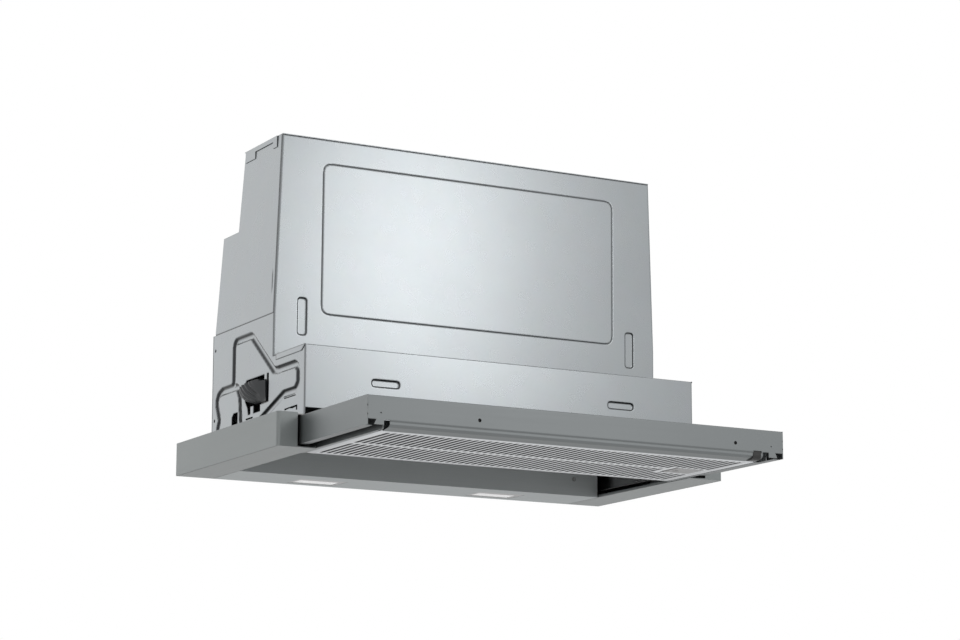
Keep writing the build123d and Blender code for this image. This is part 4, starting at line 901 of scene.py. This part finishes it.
def lowerSidePanels():
    sizes = {"beadFloor": 2.2, "beadHalf": 5.3, "beadDepth": 2.5, "bend": 9.0, "grid": 1.25,
             "clampLow": 68.0, "clampHigh": 102.0, "tongueEnd": 95.0, "holeRadius": 2.0,
             "holeInset": 8.0, "dashHeight": 65.0, "dashHalf": 0.55, "dashStart": 32.0,
             "dashEnd": 63.0}
    arch = [(254, 40), (252, 55), (247, 65), (252, 77), (257, 88), (251, 96), (240, 99.5),
            (206.5, 99.5), (206.5, 154), (157, 154), (93, 103),
            (84, 101.5), (35, 101.5), (26.5, 96), (26.5, 79), (35, 71), (66, 71), (111, 55.5),
            (132, 48)]
    brace = [(183, 40), (188, 86), (196, 98.5), (243, 98.5)]
    low = sizes["clampLow"]
    high = sizes["clampHigh"]
    opening = [(107, low), (107, high), (112, high), (112, sizes["tongueEnd"]),
               (119, sizes["tongueEnd"]),
               (119, high), (170, high), (173, high - 3), (173, low + 9), (166, low),
               (164, low - 8), (157.5, low - 8), (157.5, low + 1), (149, low + 1), (149, low - 8),
               (130, low - 8), (130, low)]
    window = [(194, 53.5), (194, 67.5), (206, 67.5), (211, 63), (211, 53.5)]
    dashLow = sizes["dashHeight"] - sizes["dashHalf"]
    dashHigh = sizes["dashHeight"] + sizes["dashHalf"]
    slits = [[(150, 54.3), (150, 56.2), (170, 56.2), (170, 54.3)],
             [(sizes["dashStart"], dashLow), (sizes["dashStart"], dashHigh),
              (sizes["dashEnd"], dashHigh), (sizes["dashEnd"], dashLow)],
             [(27.5, 47.5), (27.5, 53.4), (62, 53.0), (62, 50.9), (48, 51.8), (40, 50.6),
              (31, 51.4), (31, 47.5)]]

    def flat(points):
        return [(-back(depth), height) for depth, height in points]

    step = -back(casing["upperFront"] + casing["sheet"] + 0.05)
    frontEdge = -back(casing["front"] + casing["sheet"])
    rearEdge = -back(casing["rear"] - casing["sheet"])
    under = casing["step"] - casing["sheet"]
    outline = [(rearEdge, casing["deckTop"]), (frontEdge, casing["deckTop"]), (frontEdge, under),
               (step, under), (step, casing["seam"]), (rearEdge, casing["seam"])]
    panel = flatSheet("lowerSidePanel", gridLines(rearEdge, frontEdge, sizes["grid"], []),
                      gridLines(casing["deckTop"], casing["seam"], sizes["grid"],
                                [(sizes["dashHeight"] - 2, sizes["dashHeight"] + 2, 0.5)]),
                      casing["sheet"])
    beyond = [(rearEdge - 1, casing["deckTop"] - 1), (frontEdge + 1, casing["deckTop"] - 1),
              (frontEdge + 1, under), (step, under), (step, casing["seam"] + 1),
              (rearEdge - 1, casing["seam"] + 1)]
    holes = [flat(opening), flat(window)] + [flat(slit) for slit in slits]
    holes += [circle((-back(casing["rear"] - sizes["holeInset"]), height), sizes["holeRadius"])
              for height in (66.0, 152.4)]
    trimmed(panel, beyond, holes)
    paintShadeInside(panel, -casing["sheet"] / 2)
    # Painted shade: bead walls facing front and down are darkened, with a thin dark crease line; the
    # opening rims and the outline get dark lines.
    beads = [(roundedPath(flat(points), sizes["bend"]), False) for points in (arch, brace)]
    press(panel, pathObject("beads", beads), sizes["beadFloor"], sizes["beadHalf"],
          sizes["beadDepth"], sideShade=0.88, shadedFrom=(1, 0, 0), alsoFrom=(0.45, -0.9, 0),
          crease=0.45, shadeStart=0.4, shadeFull=1.8)
    rims = [(flat(opening), True), (flat(window), True)]
    press(panel, pathObject("openingRims", rims), floorHalf=0.0, wallHalf=1.0, depth=0.25,
          darkness=0.5)
    press(panel, pathObject("outline", [(outline, True)]), floorHalf=0.0, wallHalf=1.2,
          depth=0.4, darkness=0.45)
    placeFlat(panel, (-casing["halfWidth"], 0, 0), (0, -1, 0), (0, 0, 1))
    right = mirroredCopy(panel, "lowerRightPanel")
    finishPiece(panel, "hood", "casing_sheet", "lower_left_panel")
    finishPiece(right, "hood", "casing_sheet", "lower_right_panel")


def upperSidePanels():
    sizes = {"frontBand": 1.4, "slitDepth": 103.5, "slitLow": 200.0, "slitHigh": 223.0,
             "fine": 0.8}
    rise = casing["top"] - casing["seam"]
    leanIn = casing["halfWidth"] - casing["halfTop"]
    slope = math.hypot(rise, leanIn) / rise
    under = casing["top"] - casing["sheet"]
    gap = casing["sheet"] + 0.05

    def up(height):
        return (height - casing["seam"]) * slope

    def frontAt(height):
        return -(back(upperFrontDepth(height)) + gap)

    share = (under - casing["shelf"]) / (casing["top"] - casing["shelf"])
    wingUnder = casing["wingLow"] + (casing["wingTop"] - casing["wingLow"]) * share
    outline = [(frontAt(casing["seam"]), 0.04), (frontAt(under), up(under)),
               (-back(wingUnder), up(under)), (-back(casing["wingLow"]), up(casing["shelf"])),
               (-back(casing["towerBack"]), up(casing["shelf"])),
               (-back(casing["middleBack"]), 0.04)]
    left = min(point[0] for point in outline) - 1
    right = max(point[0] for point in outline) + 1
    fine = sizes["fine"]
    slitU = -back(sizes["slitDepth"])
    panel = flatSheet("upperSidePanel",
                      gridLines(left, right, 8, [(right - 9, right, fine),
                                                 (slitU - 3, slitU + 3, fine)]),
                      gridLines(-1, up(under) + 1, 8, [(-1, 3, fine)]), casing["sheet"])
    trimmed(panel, outline)
    paintShadeInside(panel, -casing["sheet"] / 2)
    # Painted shade: the slit, the front band and the bottom seam line are darkened.
    press(panel, pathObject("slit", [([(slitU, up(sizes["slitLow"])),
                                       (slitU, up(sizes["slitHigh"]))], False)]),
          floorHalf=0.4, wallHalf=1.2, depth=0.5, darkness=0.9)
    band = [([(outline[0][0] - sizes["frontBand"], 0), (outline[1][0] - sizes["frontBand"],
                                                        outline[1][1])], False)]
    press(panel, pathObject("frontBand", band), floorHalf=0.6, wallHalf=sizes["frontBand"],
          depth=0.35, darkness=0.9)
    bottom = [([outline[-1], outline[0]], False)]
    press(panel, pathObject("seamLine", bottom), floorHalf=0.5, wallHalf=1.3, depth=0.4,
          darkness=0.8)
    placeFlat(panel, (-casing["halfWidth"], 0, casing["seam"]), (0, -1, 0), (leanIn, 0, rise))
    other = mirroredCopy(panel, "upperRightPanel")
    finishPiece(panel, "hood", "casing_sheet", "upper_left_panel")
    finishPiece(other, "hood", "casing_sheet", "upper_right_panel")


# Filter cassette

tray = {"pitch": 8.53, "columns": 55, "halfSlit": 2.0, "rowHalf": 44.25, "slitHalf": 40.0,
        "bottom": 0.6, "sheet": 0.8, "height": 6.8, "halfLength": 244.4, "halfDepth": 93.95,
        "middle": back(-54.35), "latchLow": -62.3, "latchHigh": -25.7, "latchLeft": 190.5,
        "latchRight": 231.3, "rim": 3.0, "shortColumns": 6}


def slitCell(name, low, high, slitLow, slitHigh):
    # Painted shade through the seam attribute: slit walls near-black, bars mid-dark, and the band
    # darker at each slit end than between slit ends, which gives a dotted row.
    sizes = {"rings": [(0.65, 0.0, 0.28), (0.40, 0.12, 0.70), (0.15, 0.5, 0.93),
                       (0.15, 1.3, 0.96), (0.4, 1.3, 0.96), (0.4, 0.8, 0.96)],
             "barShade": 0.27, "endShade": 0.02, "dotShade": 0.30, "capSteps": 6}
    half = tray["halfSlit"]
    edge = tray["pitch"] / 2
    top = slitHigh - half
    bottom = slitLow + half
    steps = sizes["capSteps"]

    def ring(grow, rise, shade):
        reach = half + grow
        points = []
        for middle, start in ((top, 0), (bottom, math.pi)):
            for step in range(steps + 1):
                angle = start + math.pi * step / steps
                lift = 0.0 if step in (0, steps) else sizes["dotShade"] - sizes["barShade"]
                points.append((reach * math.cos(angle), middle + reach * math.sin(angle),
                               tray["bottom"] + rise,
                               min(0.9, max(0.0, shade + (lift if rise < 0.3 else 0)))))
        return points

    def boundary(rise, shade):
        upper = [(edge, top), (edge, (top + high) / 2), (edge, high), (0, high), (-edge, high),
                 (-edge, (top + high) / 2), (-edge, top)]
        lower = [(-edge, bottom), (-edge, (bottom + low) / 2), (-edge, low), (0, low),
                 (edge, low), (edge, (bottom + low) / 2), (edge, bottom)]
        points = []
        for group in (upper, lower):
            for index, (x, y) in enumerate(group):
                ends = shade
                if index not in (0, 6):
                    ends = min(shade, sizes["dotShade"] if x == 0 else sizes["endShade"])
                points.append((x, y, tray["bottom"] + rise, ends if rise < 0.5 else 0.9))
        return points

    loops = [boundary(0.0, sizes["barShade"])]
    loops += [ring(grow, rise, shade) for grow, rise, shade in sizes["rings"]]
    loops.append(boundary(tray["sheet"], 0.9))
    count = len(loops[0])
    vertices = [point[:3] for loop in loops for point in loop]
    faces = loftFaces(count, len(loops))
    cell = newObject(name, vertices, [tuple(reversed(face)) for face in faces])
    return storePaintedShade(cell, [point[3] for loop in loops for point in loop])


def rectangleLoop(halfX, halfY, height, radius, middle=(0.0, 0.0), steps=4):
    points = []
    for sideX, sideY, start in ((1, 1, 0), (-1, 1, 1), (-1, -1, 2), (1, -1, 3)):
        for step in range(steps + 1):
            angle = math.pi / 2 * (start + step / steps)
            points.append((middle[0] + sideX * (halfX - radius) + radius * math.cos(angle),
                           middle[1] + sideY * (halfY - radius) + radius * math.sin(angle),
                           height))
    return points


def closedRing(name, loops, shades):
    count = len(loops[0])
    vertices = [point for loop in loops for point in loop]
    ring = newObject(name, vertices, loftFaces(count, len(loops), closed=True))
    storePaintedShade(ring, [shade for shade in shades for index in range(count)])
    return turnOutwards(ring)


def turnOutwards(piece, weld=None):
    mesh = bmesh.new()
    mesh.from_mesh(piece.data)
    if weld is not None:
        bmesh.ops.remove_doubles(mesh, verts=mesh.verts, dist=weld)
    bmesh.ops.recalc_face_normals(mesh, faces=mesh.faces)
    mesh.to_mesh(piece.data)
    mesh.free()
    return piece


def closeSheetEdges(piece, weld):
    mesh = bmesh.new()
    mesh.from_mesh(piece.data)
    bmesh.ops.remove_doubles(mesh, verts=mesh.verts, dist=weld)
    middle = tray["bottom"] + tray["sheet"] / 2
    rims = [edge for edge in mesh.edges if len(edge.link_faces) == 1]
    tops = {(round(vertex.co.x, 2), round(vertex.co.y, 2)): vertex
            for edge in rims for vertex in edge.verts if vertex.co.z > middle}
    for edge in rims:
        first, second = edge.verts
        if first.co.z > middle:
            continue
        above = [tops.get((round(vertex.co.x, 2), round(vertex.co.y, 2)))
                 for vertex in (first, second)]
        if all(above):
            mesh.faces.new((first, second, above[1], above[0]))
    bmesh.ops.recalc_face_normals(mesh, faces=mesh.faces)
    mesh.to_mesh(piece.data)
    mesh.free()
    return piece


# Painted shade: the border is darkened along its sides and rear.
def shadeBorderSides(border, halfX, middle):
    sizes = {"sideShade": 0.40, "rearShade": 0.30}
    for vertex, item in zip(border.data.vertices, border.data.attributes["seam"].data):
        atSide = abs(vertex.co.x) > halfX - 0.3
        atFront = vertex.co.y < middle - 2 * tray["rowHalf"] + 0.3
        if atSide and not atFront:
            item.value = max(item.value, sizes["sideShade"])
        elif not atFront:
            item.value = max(item.value, sizes["rearShade"])


def filterGrille():
    pitch = tray["pitch"]
    rowHalf = tray["rowHalf"]
    middle = tray["middle"]
    slitHalf = tray["slitHalf"]
    full = slitCell("fullSlit", -rowHalf, rowHalf, -slitHalf, slitHalf)
    frontRow = middle - rowHalf
    rearRow = middle + rowHalf
    frontEdge = back(tray["latchLow"] - tray["rim"]) - frontRow
    rearEdge = back(tray["latchHigh"] + tray["rim"]) - rearRow
    shortFront = slitCell("shortFront", -rowHalf, frontEdge, -slitHalf, frontEdge - 2.2)
    shortRear = slitCell("shortRear", rearEdge, rowHalf, rearEdge + 2.2, slitHalf)
    longCount = tray["columns"] - tray["shortColumns"]
    first = -(tray["columns"] - 1) / 2 * pitch
    firstShort = first + longCount * pitch
    grille = newObject("filterGrille", [])
    for copy, count, x, y in ((full, longCount, first, frontRow), (full, longCount, first, rearRow),
                              (shortFront, tray["shortColumns"], firstShort, frontRow),
                              (shortRear, tray["shortColumns"], firstShort, rearRow)):
        repeatAlong(grille, copy, count, (x, y, 0), (pitch, 0, 0), "filter_aluminium")
    closeSheetEdges(grille, 0.02)
    halfX = tray["columns"] * pitch / 2
    halfY = 2 * rowHalf
    outX = tray["halfLength"]
    outY = tray["halfDepth"]
    low = tray["bottom"]
    top = low + tray["height"]
    sheet = tray["sheet"]
    spot = (0.0, middle)
    # The last list gives painted shade per loop, darker on the turned-in and inner faces.
    border = closedRing(
        "grilleBorder",
        [rectangleLoop(halfX, halfY, low, 0.4, spot),
         rectangleLoop(halfX + 1.6, halfY + 1.2, low - 0.25, 1.0, spot),
         rectangleLoop(outX - 1.6, outY - 1.4, low - 0.2, 2.0, spot),
         rectangleLoop(outX - 0.5, outY - 0.5, low + 0.15, 2.0, spot),
         rectangleLoop(outX - 0.05, outY - 0.05, low + 0.8, 2.0, spot),
         rectangleLoop(outX, outY, low + 1.6, 2.0, spot),
         rectangleLoop(outX, outY, top, 2.0, spot),
         rectangleLoop(outX - sheet, outY - sheet, top, 1.4, spot),
         rectangleLoop(outX - sheet, outY - sheet, low + sheet, 1.4, spot),
         rectangleLoop(halfX, halfY, low + sheet, 0.4, spot)],
        [0.1, 0.02, 0.05, 0.05, 0.2, 0.3, 0.3, 0.7, 0.9, 0.9])
    shadeBorderSides(border, halfX, middle)
    leftX = firstShort - pitch / 2
    latchMiddle = ((leftX + halfX) / 2, (back(tray["latchLow"]) + back(tray["latchHigh"])) / 2)
    outerX = (halfX - leftX) / 2
    outerY = (tray["latchHigh"] - tray["latchLow"]) / 2 + tray["rim"]
    innerMiddle = ((tray["latchLeft"] + tray["latchRight"]) / 2, latchMiddle[1])
    innerX = (tray["latchRight"] - tray["latchLeft"]) / 2
    innerY = outerY - tray["rim"]
    # The last list gives painted shade per loop, darkest on the latch recess's walls and floor.
    surround = closedRing(
        "latchSurround",
        [rectangleLoop(outerX, outerY, low, 0.4, latchMiddle),
         rectangleLoop(innerX + 1.2, innerY + 1.2, low, 3.0, innerMiddle),
         rectangleLoop(innerX + 0.4, innerY + 0.4, low + 0.15, 3.0, innerMiddle),
         rectangleLoop(innerX, innerY, low + 0.7, 3.0, innerMiddle),
         rectangleLoop(innerX, innerY, low + 2.0, 3.0, innerMiddle),
         rectangleLoop(innerX + 0.6, innerY + 0.6, low + 2.0, 3.0, innerMiddle),
         rectangleLoop(innerX + 0.6, innerY + 0.6, low + sheet, 3.0, innerMiddle),
         rectangleLoop(outerX, outerY, low + sheet, 0.4, latchMiddle)],
        [0.1, 0.1, 0.3, 0.8, 0.9, 0.9, 0.9, 0.9])
    pins = hingePins()
    whole = joined("filterGrille", [grille, border, surround] + pins)
    discard(full, shortFront, shortRear)
    finishPiece(whole, "filter", "filter_aluminium", "filter_grille", angle=40)


def turnedRod(name, radius, start, finish, spot, axis="Y", chamfer=0.4, steps=20):
    profile = [(start, 0.0), (start, radius - chamfer), (start + chamfer, radius),
               (finish - chamfer, radius), (finish, radius - chamfer), (finish, 0.0)]
    vertices = []
    for along, reach in profile:
        for step in range(steps):
            angle = 2 * math.pi * step / steps
            across = (reach * math.cos(angle), reach * math.sin(angle))
            if axis == "Y":
                vertices.append((spot[0] + across[0], along, spot[1] + across[1]))
            else:
                vertices.append((spot[0] + across[0], spot[1] + across[1], along))
    return turnOutwards(newObject(name, vertices, loftFaces(steps, len(profile))), 0.001)


def hingePins():
    sizes = {"inset": 8.4, "height": 4.5, "radius": 1.5, "frontReach": 3.0, "rearReach": 2.6}
    x = -tray["halfLength"] + sizes["inset"]
    front = tray["middle"] - tray["halfDepth"]
    rear = tray["middle"] + tray["halfDepth"]
    return [turnedRod("frontPin", sizes["radius"], front - sizes["frontReach"], front + 0.4,
                      (x, sizes["height"])),
            turnedRod("rearPin", sizes["radius"], rear - 0.4, rear + sizes["rearReach"],
                      (x, sizes["height"]))]


# Lamps, clamps and small fittings

def lampLenses():
    sizes = {"offset": 125.0, "depth": 257.0, "shift": 5.0, "width": 54.0, "length": 24.0,
             "bottom": 0.3, "top": 3.3, "corner": 1.5, "flutes": 26, "fluteWidth": 2.0,
             "fluteRise": 0.35}
    for side, node in ((-1, "lamp_lens_left"), (1, "lamp_lens_right")):
        spot = (side * sizes["offset"], back(sizes["depth"]) + sizes["shift"])
        halfX = sizes["width"] / 2
        halfY = sizes["length"] / 2
        low = sizes["bottom"]
        rounds = [(halfX - 1.2, halfY - 1.2, low), (halfX - 0.4, halfY - 0.4, low + 0.2),
                  (halfX, halfY, low + 0.8), (halfX, halfY, sizes["top"])]
        loops = [rectangleLoop(x, y, z, sizes["corner"], spot) for x, y, z in rounds]
        count = len(loops[0])
        vertices = [point for loop in loops for point in loop]
        faces = [tuple(range(count)), tuple(range(3 * count, 4 * count))]
        faces += loftFaces(count, len(loops))
        lens = turnOutwards(newObject("lens", vertices, faces))  # closed before the flutes join it
        flute = fluteRib(sizes)
        start = (spot[0] - (sizes["flutes"] - 1) / 2 * sizes["fluteWidth"], spot[1], low + 0.3)
        repeatAlong(lens, flute, sizes["flutes"], start, (sizes["fluteWidth"], 0, 0), "lens_plastic")
        discard(flute)
        finishPiece(lens, "hood", "lens_plastic", node, angle=50)


def fluteRib(sizes):
    half = sizes["fluteWidth"] / 2
    length = sizes["length"] / 2 - 1.6
    arc = [(half * math.cos(math.pi * step / 6), -sizes["fluteRise"] * math.sin(math.pi * step / 6))
           for step in range(7)]
    vertices = [(x, y, z) for y in (-length, length) for x, z in arc]
    faces = [tuple(range(7)), tuple(range(7, 14))]
    faces += [(i, i + 1, i + 8, i + 7) for i in range(6)] + [(0, 6, 13, 7)]
    return turnOutwards(newObject("flute", vertices, faces))


def clampJaws():
    sizes = {"front": 113.0, "low": 69.5, "top": 96.5, "slices": 84, "slice": 0.85, "levels": 16,
             "fallStart": 128.0, "fall": 0.09, "roundness": 2.6, "ribPitch": 9.2,
             "ribStart": 136.0, "ribFront": 122.0, "ribFade": 8.0, "ribDepth": 2.3,
             "sweep": 34.0, "sweepDrop": 27.0, "inner": 0.7, "thick": 1.5, "thickEnd": 168.0,
             "stepEnd": 123.5, "stepTop": 94.2, "hubRadius": 7.0, "hubTop": 102.5,
             "hubInset": 10.0, "hubDepth": 120.0}
    reachAt = [(113.0, 1.5), (132.0, 8.5), (157.0, 12.0), (183.0, 2.2)]
    lowAt = [(110.0, 69.5), (140.0, 69.5), (160.0, 74.0), (174.0, 80.5), (181.0, 86.0),
             (184.0, 88.0)]
    face = -casing["halfWidth"]

    def reach(depth):
        total = 0.0
        for spot, value in reachAt:
            share = value
            for other, unused in reachAt:
                if other != spot:
                    share *= (depth - other) / (spot - other)
            total += share
        return total

    def lowest(depth):
        for (first, low), (second, high) in zip(lowAt, lowAt[1:]):
            if depth <= second:
                share = max(0.0, (depth - first) / (second - first))
                return low + share * (high - low)
        return lowAt[-1][1]

    depths = [sizes["front"] + index * sizes["slice"] for index in range(sizes["slices"])]
    levels = sizes["levels"]
    loops = []
    for depth in depths:
        low = lowest(depth)
        high = sizes["top"] - max(0.0, depth - sizes["fallStart"]) * sizes["fall"]
        loop = []
        for level in range(levels + 1):
            share = level / levels
            height = low + (high - low) * share
            bulge = (1 - (1 - share) ** sizes["roundness"]) ** 0.5
            out = reach(depth) * bulge
            drop = sizes["top"] - height
            swept = depth + sizes["sweep"] * (drop / sizes["sweepDrop"]) ** 1.5
            phase = (swept - sizes["ribStart"]) / sizes["ribPitch"]
            if phase > 0 and depth > sizes["ribFront"]:
                wave = 0.5 + 0.5 * math.cos(2 * math.pi * phase)
                grown = min(1.0, (depth - sizes["ribFront"]) / sizes["ribFade"])
                fade = min(1.0, phase * 1.5) * grown
                out -= sizes["ribDepth"] * wave ** 1.5 * fade * bulge
            loop.append((face - max(out, sizes["inner"] + 0.05), back(depth), height))
        inner = face + sizes["thick"] if depth < sizes["thickEnd"] else face - sizes["inner"]
        if depth < sizes["stepEnd"]:
            loop = [(x, y, min(z, sizes["stepTop"])) for x, y, z in loop]
        top = loop[-1][2]
        loop += [(inner, back(depth), top), (inner, back(depth), (top + low) / 2),
                 (inner, back(depth), low)]
        loops.append(loop)
    count = len(loops[0])
    vertices = [point for loop in loops for point in loop]
    faces = [tuple(range(count)), tuple(range((len(loops) - 1) * count, len(loops) * count))]
    faces += loftFaces(count, len(loops))
    jaw = turnOutwards(newObject("clampJaw", vertices, faces))
    hub = turnedRod("clampHub", sizes["hubRadius"], sizes["low"], sizes["hubTop"],
                    (face + sizes["hubInset"], back(sizes["hubDepth"])), axis="Z")
    left = joined("leftClampJaw", [jaw, hub])
    right = mirroredCopy(left, "rightClampJaw")
    finishPiece(left, "left_clamp", "clamp_plastic", "clamp_cam_left", angle=45)
    finishPiece(right, "right_clamp", "clamp_plastic", "clamp_cam_right", angle=45)


def trimScrewClips():
    sizes = {"left": -133.2, "right": 204.3, "height": 18.1, "radius": 3.6, "front": -165.3,
             "length": 5.0}
    for index, x in enumerate((sizes["left"], sizes["right"])):
        clip = turnedRod("trimScrewClip" + str(index + 1), sizes["radius"], back(sizes["front"]),
                         back(sizes["front"]) + sizes["length"], (x, sizes["height"]))
        finishPiece(clip, "drawer", "cap_plastic")


upperFrontPanel()
lowerFrontPanel()
lowerSidePanels()
upperSidePanels()
print("casing sheets made")
filterGrille()
print("filter grille made")
lampLenses()
clampJaws()
trimScrewClips()
print("lenses, clamps and clips made")


# Floor, light and camera

def seenRay(tree):
    ray = addNode(tree, "ShaderNodeLightPath").outputs
    return maths(tree, "MAXIMUM", ray["Is Camera Ray"],
                 maths(tree, "MAXIMUM", ray["Is Glossy Ray"], ray["Is Transmission Ray"]))


def makeWorld():
    world = bpy.data.worlds.new("studio")
    world.use_nodes = True
    bpy.context.scene.world = world
    tree = world.node_tree
    tree.nodes.clear()
    light = {"given": 0.55, "addedWhereSeen": 0.45}
    seen = seenRay(tree)
    level = maths(tree, "ADD", light["given"],
                  maths(tree, "MULTIPLY", seen, light["addedWhereSeen"]))
    sky = addNode(tree, "ShaderNodeBackground", {"Color": (1, 1, 1, 1), "Strength": level})
    out = tree.nodes.new("ShaderNodeOutputWorld")
    tree.links.new(sky.outputs[0], out.inputs["Surface"])


def makeFloor():
    size = {"half": 30.0, "height": -1.55, "glow": 0.36, "tone": 0.86}
    mesh = bpy.data.meshes.new("floor")
    half = size["half"]
    mesh.from_pydata([(-half, -half, size["height"]), (half, -half, size["height"]),
                      (half, half, size["height"]), (-half, half, size["height"])], [],
                     [(0, 1, 2, 3)])
    floor = bpy.data.objects.new("floor", mesh)
    bpy.context.collection.objects.link(floor)
    material = newMaterial("floorPaper", 0.0, 0.2)
    tree = material.node_tree
    shader = tree.nodes["Principled BSDF"]
    place = objectPlace(tree)
    mottle = noise(tree, place, 3.0, 3.0)
    tree.links.new(remap(tree, mottle[0], 0.0, 1.0, 0.75, 0.85), shader.inputs["Roughness"])
    shader.inputs["Base Color"].default_value = grey(size["tone"])
    shader.inputs["Emission Color"].default_value = grey(1)
    glow = maths(tree, "MULTIPLY", seenRay(tree), size["glow"])
    tree.links.new(glow, shader.inputs["Emission Strength"])
    mesh.materials.append(material)


def areaLamp(name, place, target, width, height, power):
    data = bpy.data.lights.new(name, "AREA")
    data.shape = "RECTANGLE"
    data.size = width
    data.size_y = height
    data.energy = power
    lamp = bpy.data.objects.new(name, data)
    bpy.context.collection.objects.link(lamp)
    lamp.location = place
    lamp.rotation_euler = (Vector(target) - Vector(place)).to_track_quat("-Z", "Y").to_euler()
    lamp.visible_camera = False
    return lamp


def makeCamera():
    aim = {"lens": 101.5, "place": (-1.55537, -3.0159, -0.44318), "yaw": 29.07, "pitch": 11.08,
           "roll": 0.06}
    data = bpy.data.cameras.new("camera")
    data.sensor_fit = "HORIZONTAL"
    data.sensor_width = 36.0
    data.lens = aim["lens"]
    camera = bpy.data.objects.new("camera", data)
    bpy.context.collection.objects.link(camera)
    turn = (Matrix.Rotation(-math.radians(aim["yaw"]), 4, "Z")
            @ Matrix.Rotation(math.radians(90 + aim["pitch"]), 4, "X")
            @ Matrix.Rotation(math.radians(aim["roll"]), 4, "Z"))
    camera.matrix_world = Matrix.Translation(aim["place"]) @ turn
    bpy.context.scene.camera = camera


makeWorld()
makeFloor()
lamps = {"keyRight": {"place": (0.78, -1.89, 0.645), "target": (-0.1, -0.196, 0.25),
                      "width": 0.30, "height": 0.60, "power": 2.65},
         "softLeft": {"place": (-1.42, 2.5, 0.75), "target": (-0.26, -0.15, 0.2),
                      "width": 2.0, "height": 2.0, "power": 4.55}}
for lampName, settings in lamps.items():
    areaLamp(lampName, **settings)
makeCamera()
scene = bpy.context.scene
scene.view_settings.view_transform = "Standard"
print("floor, light and camera ready")
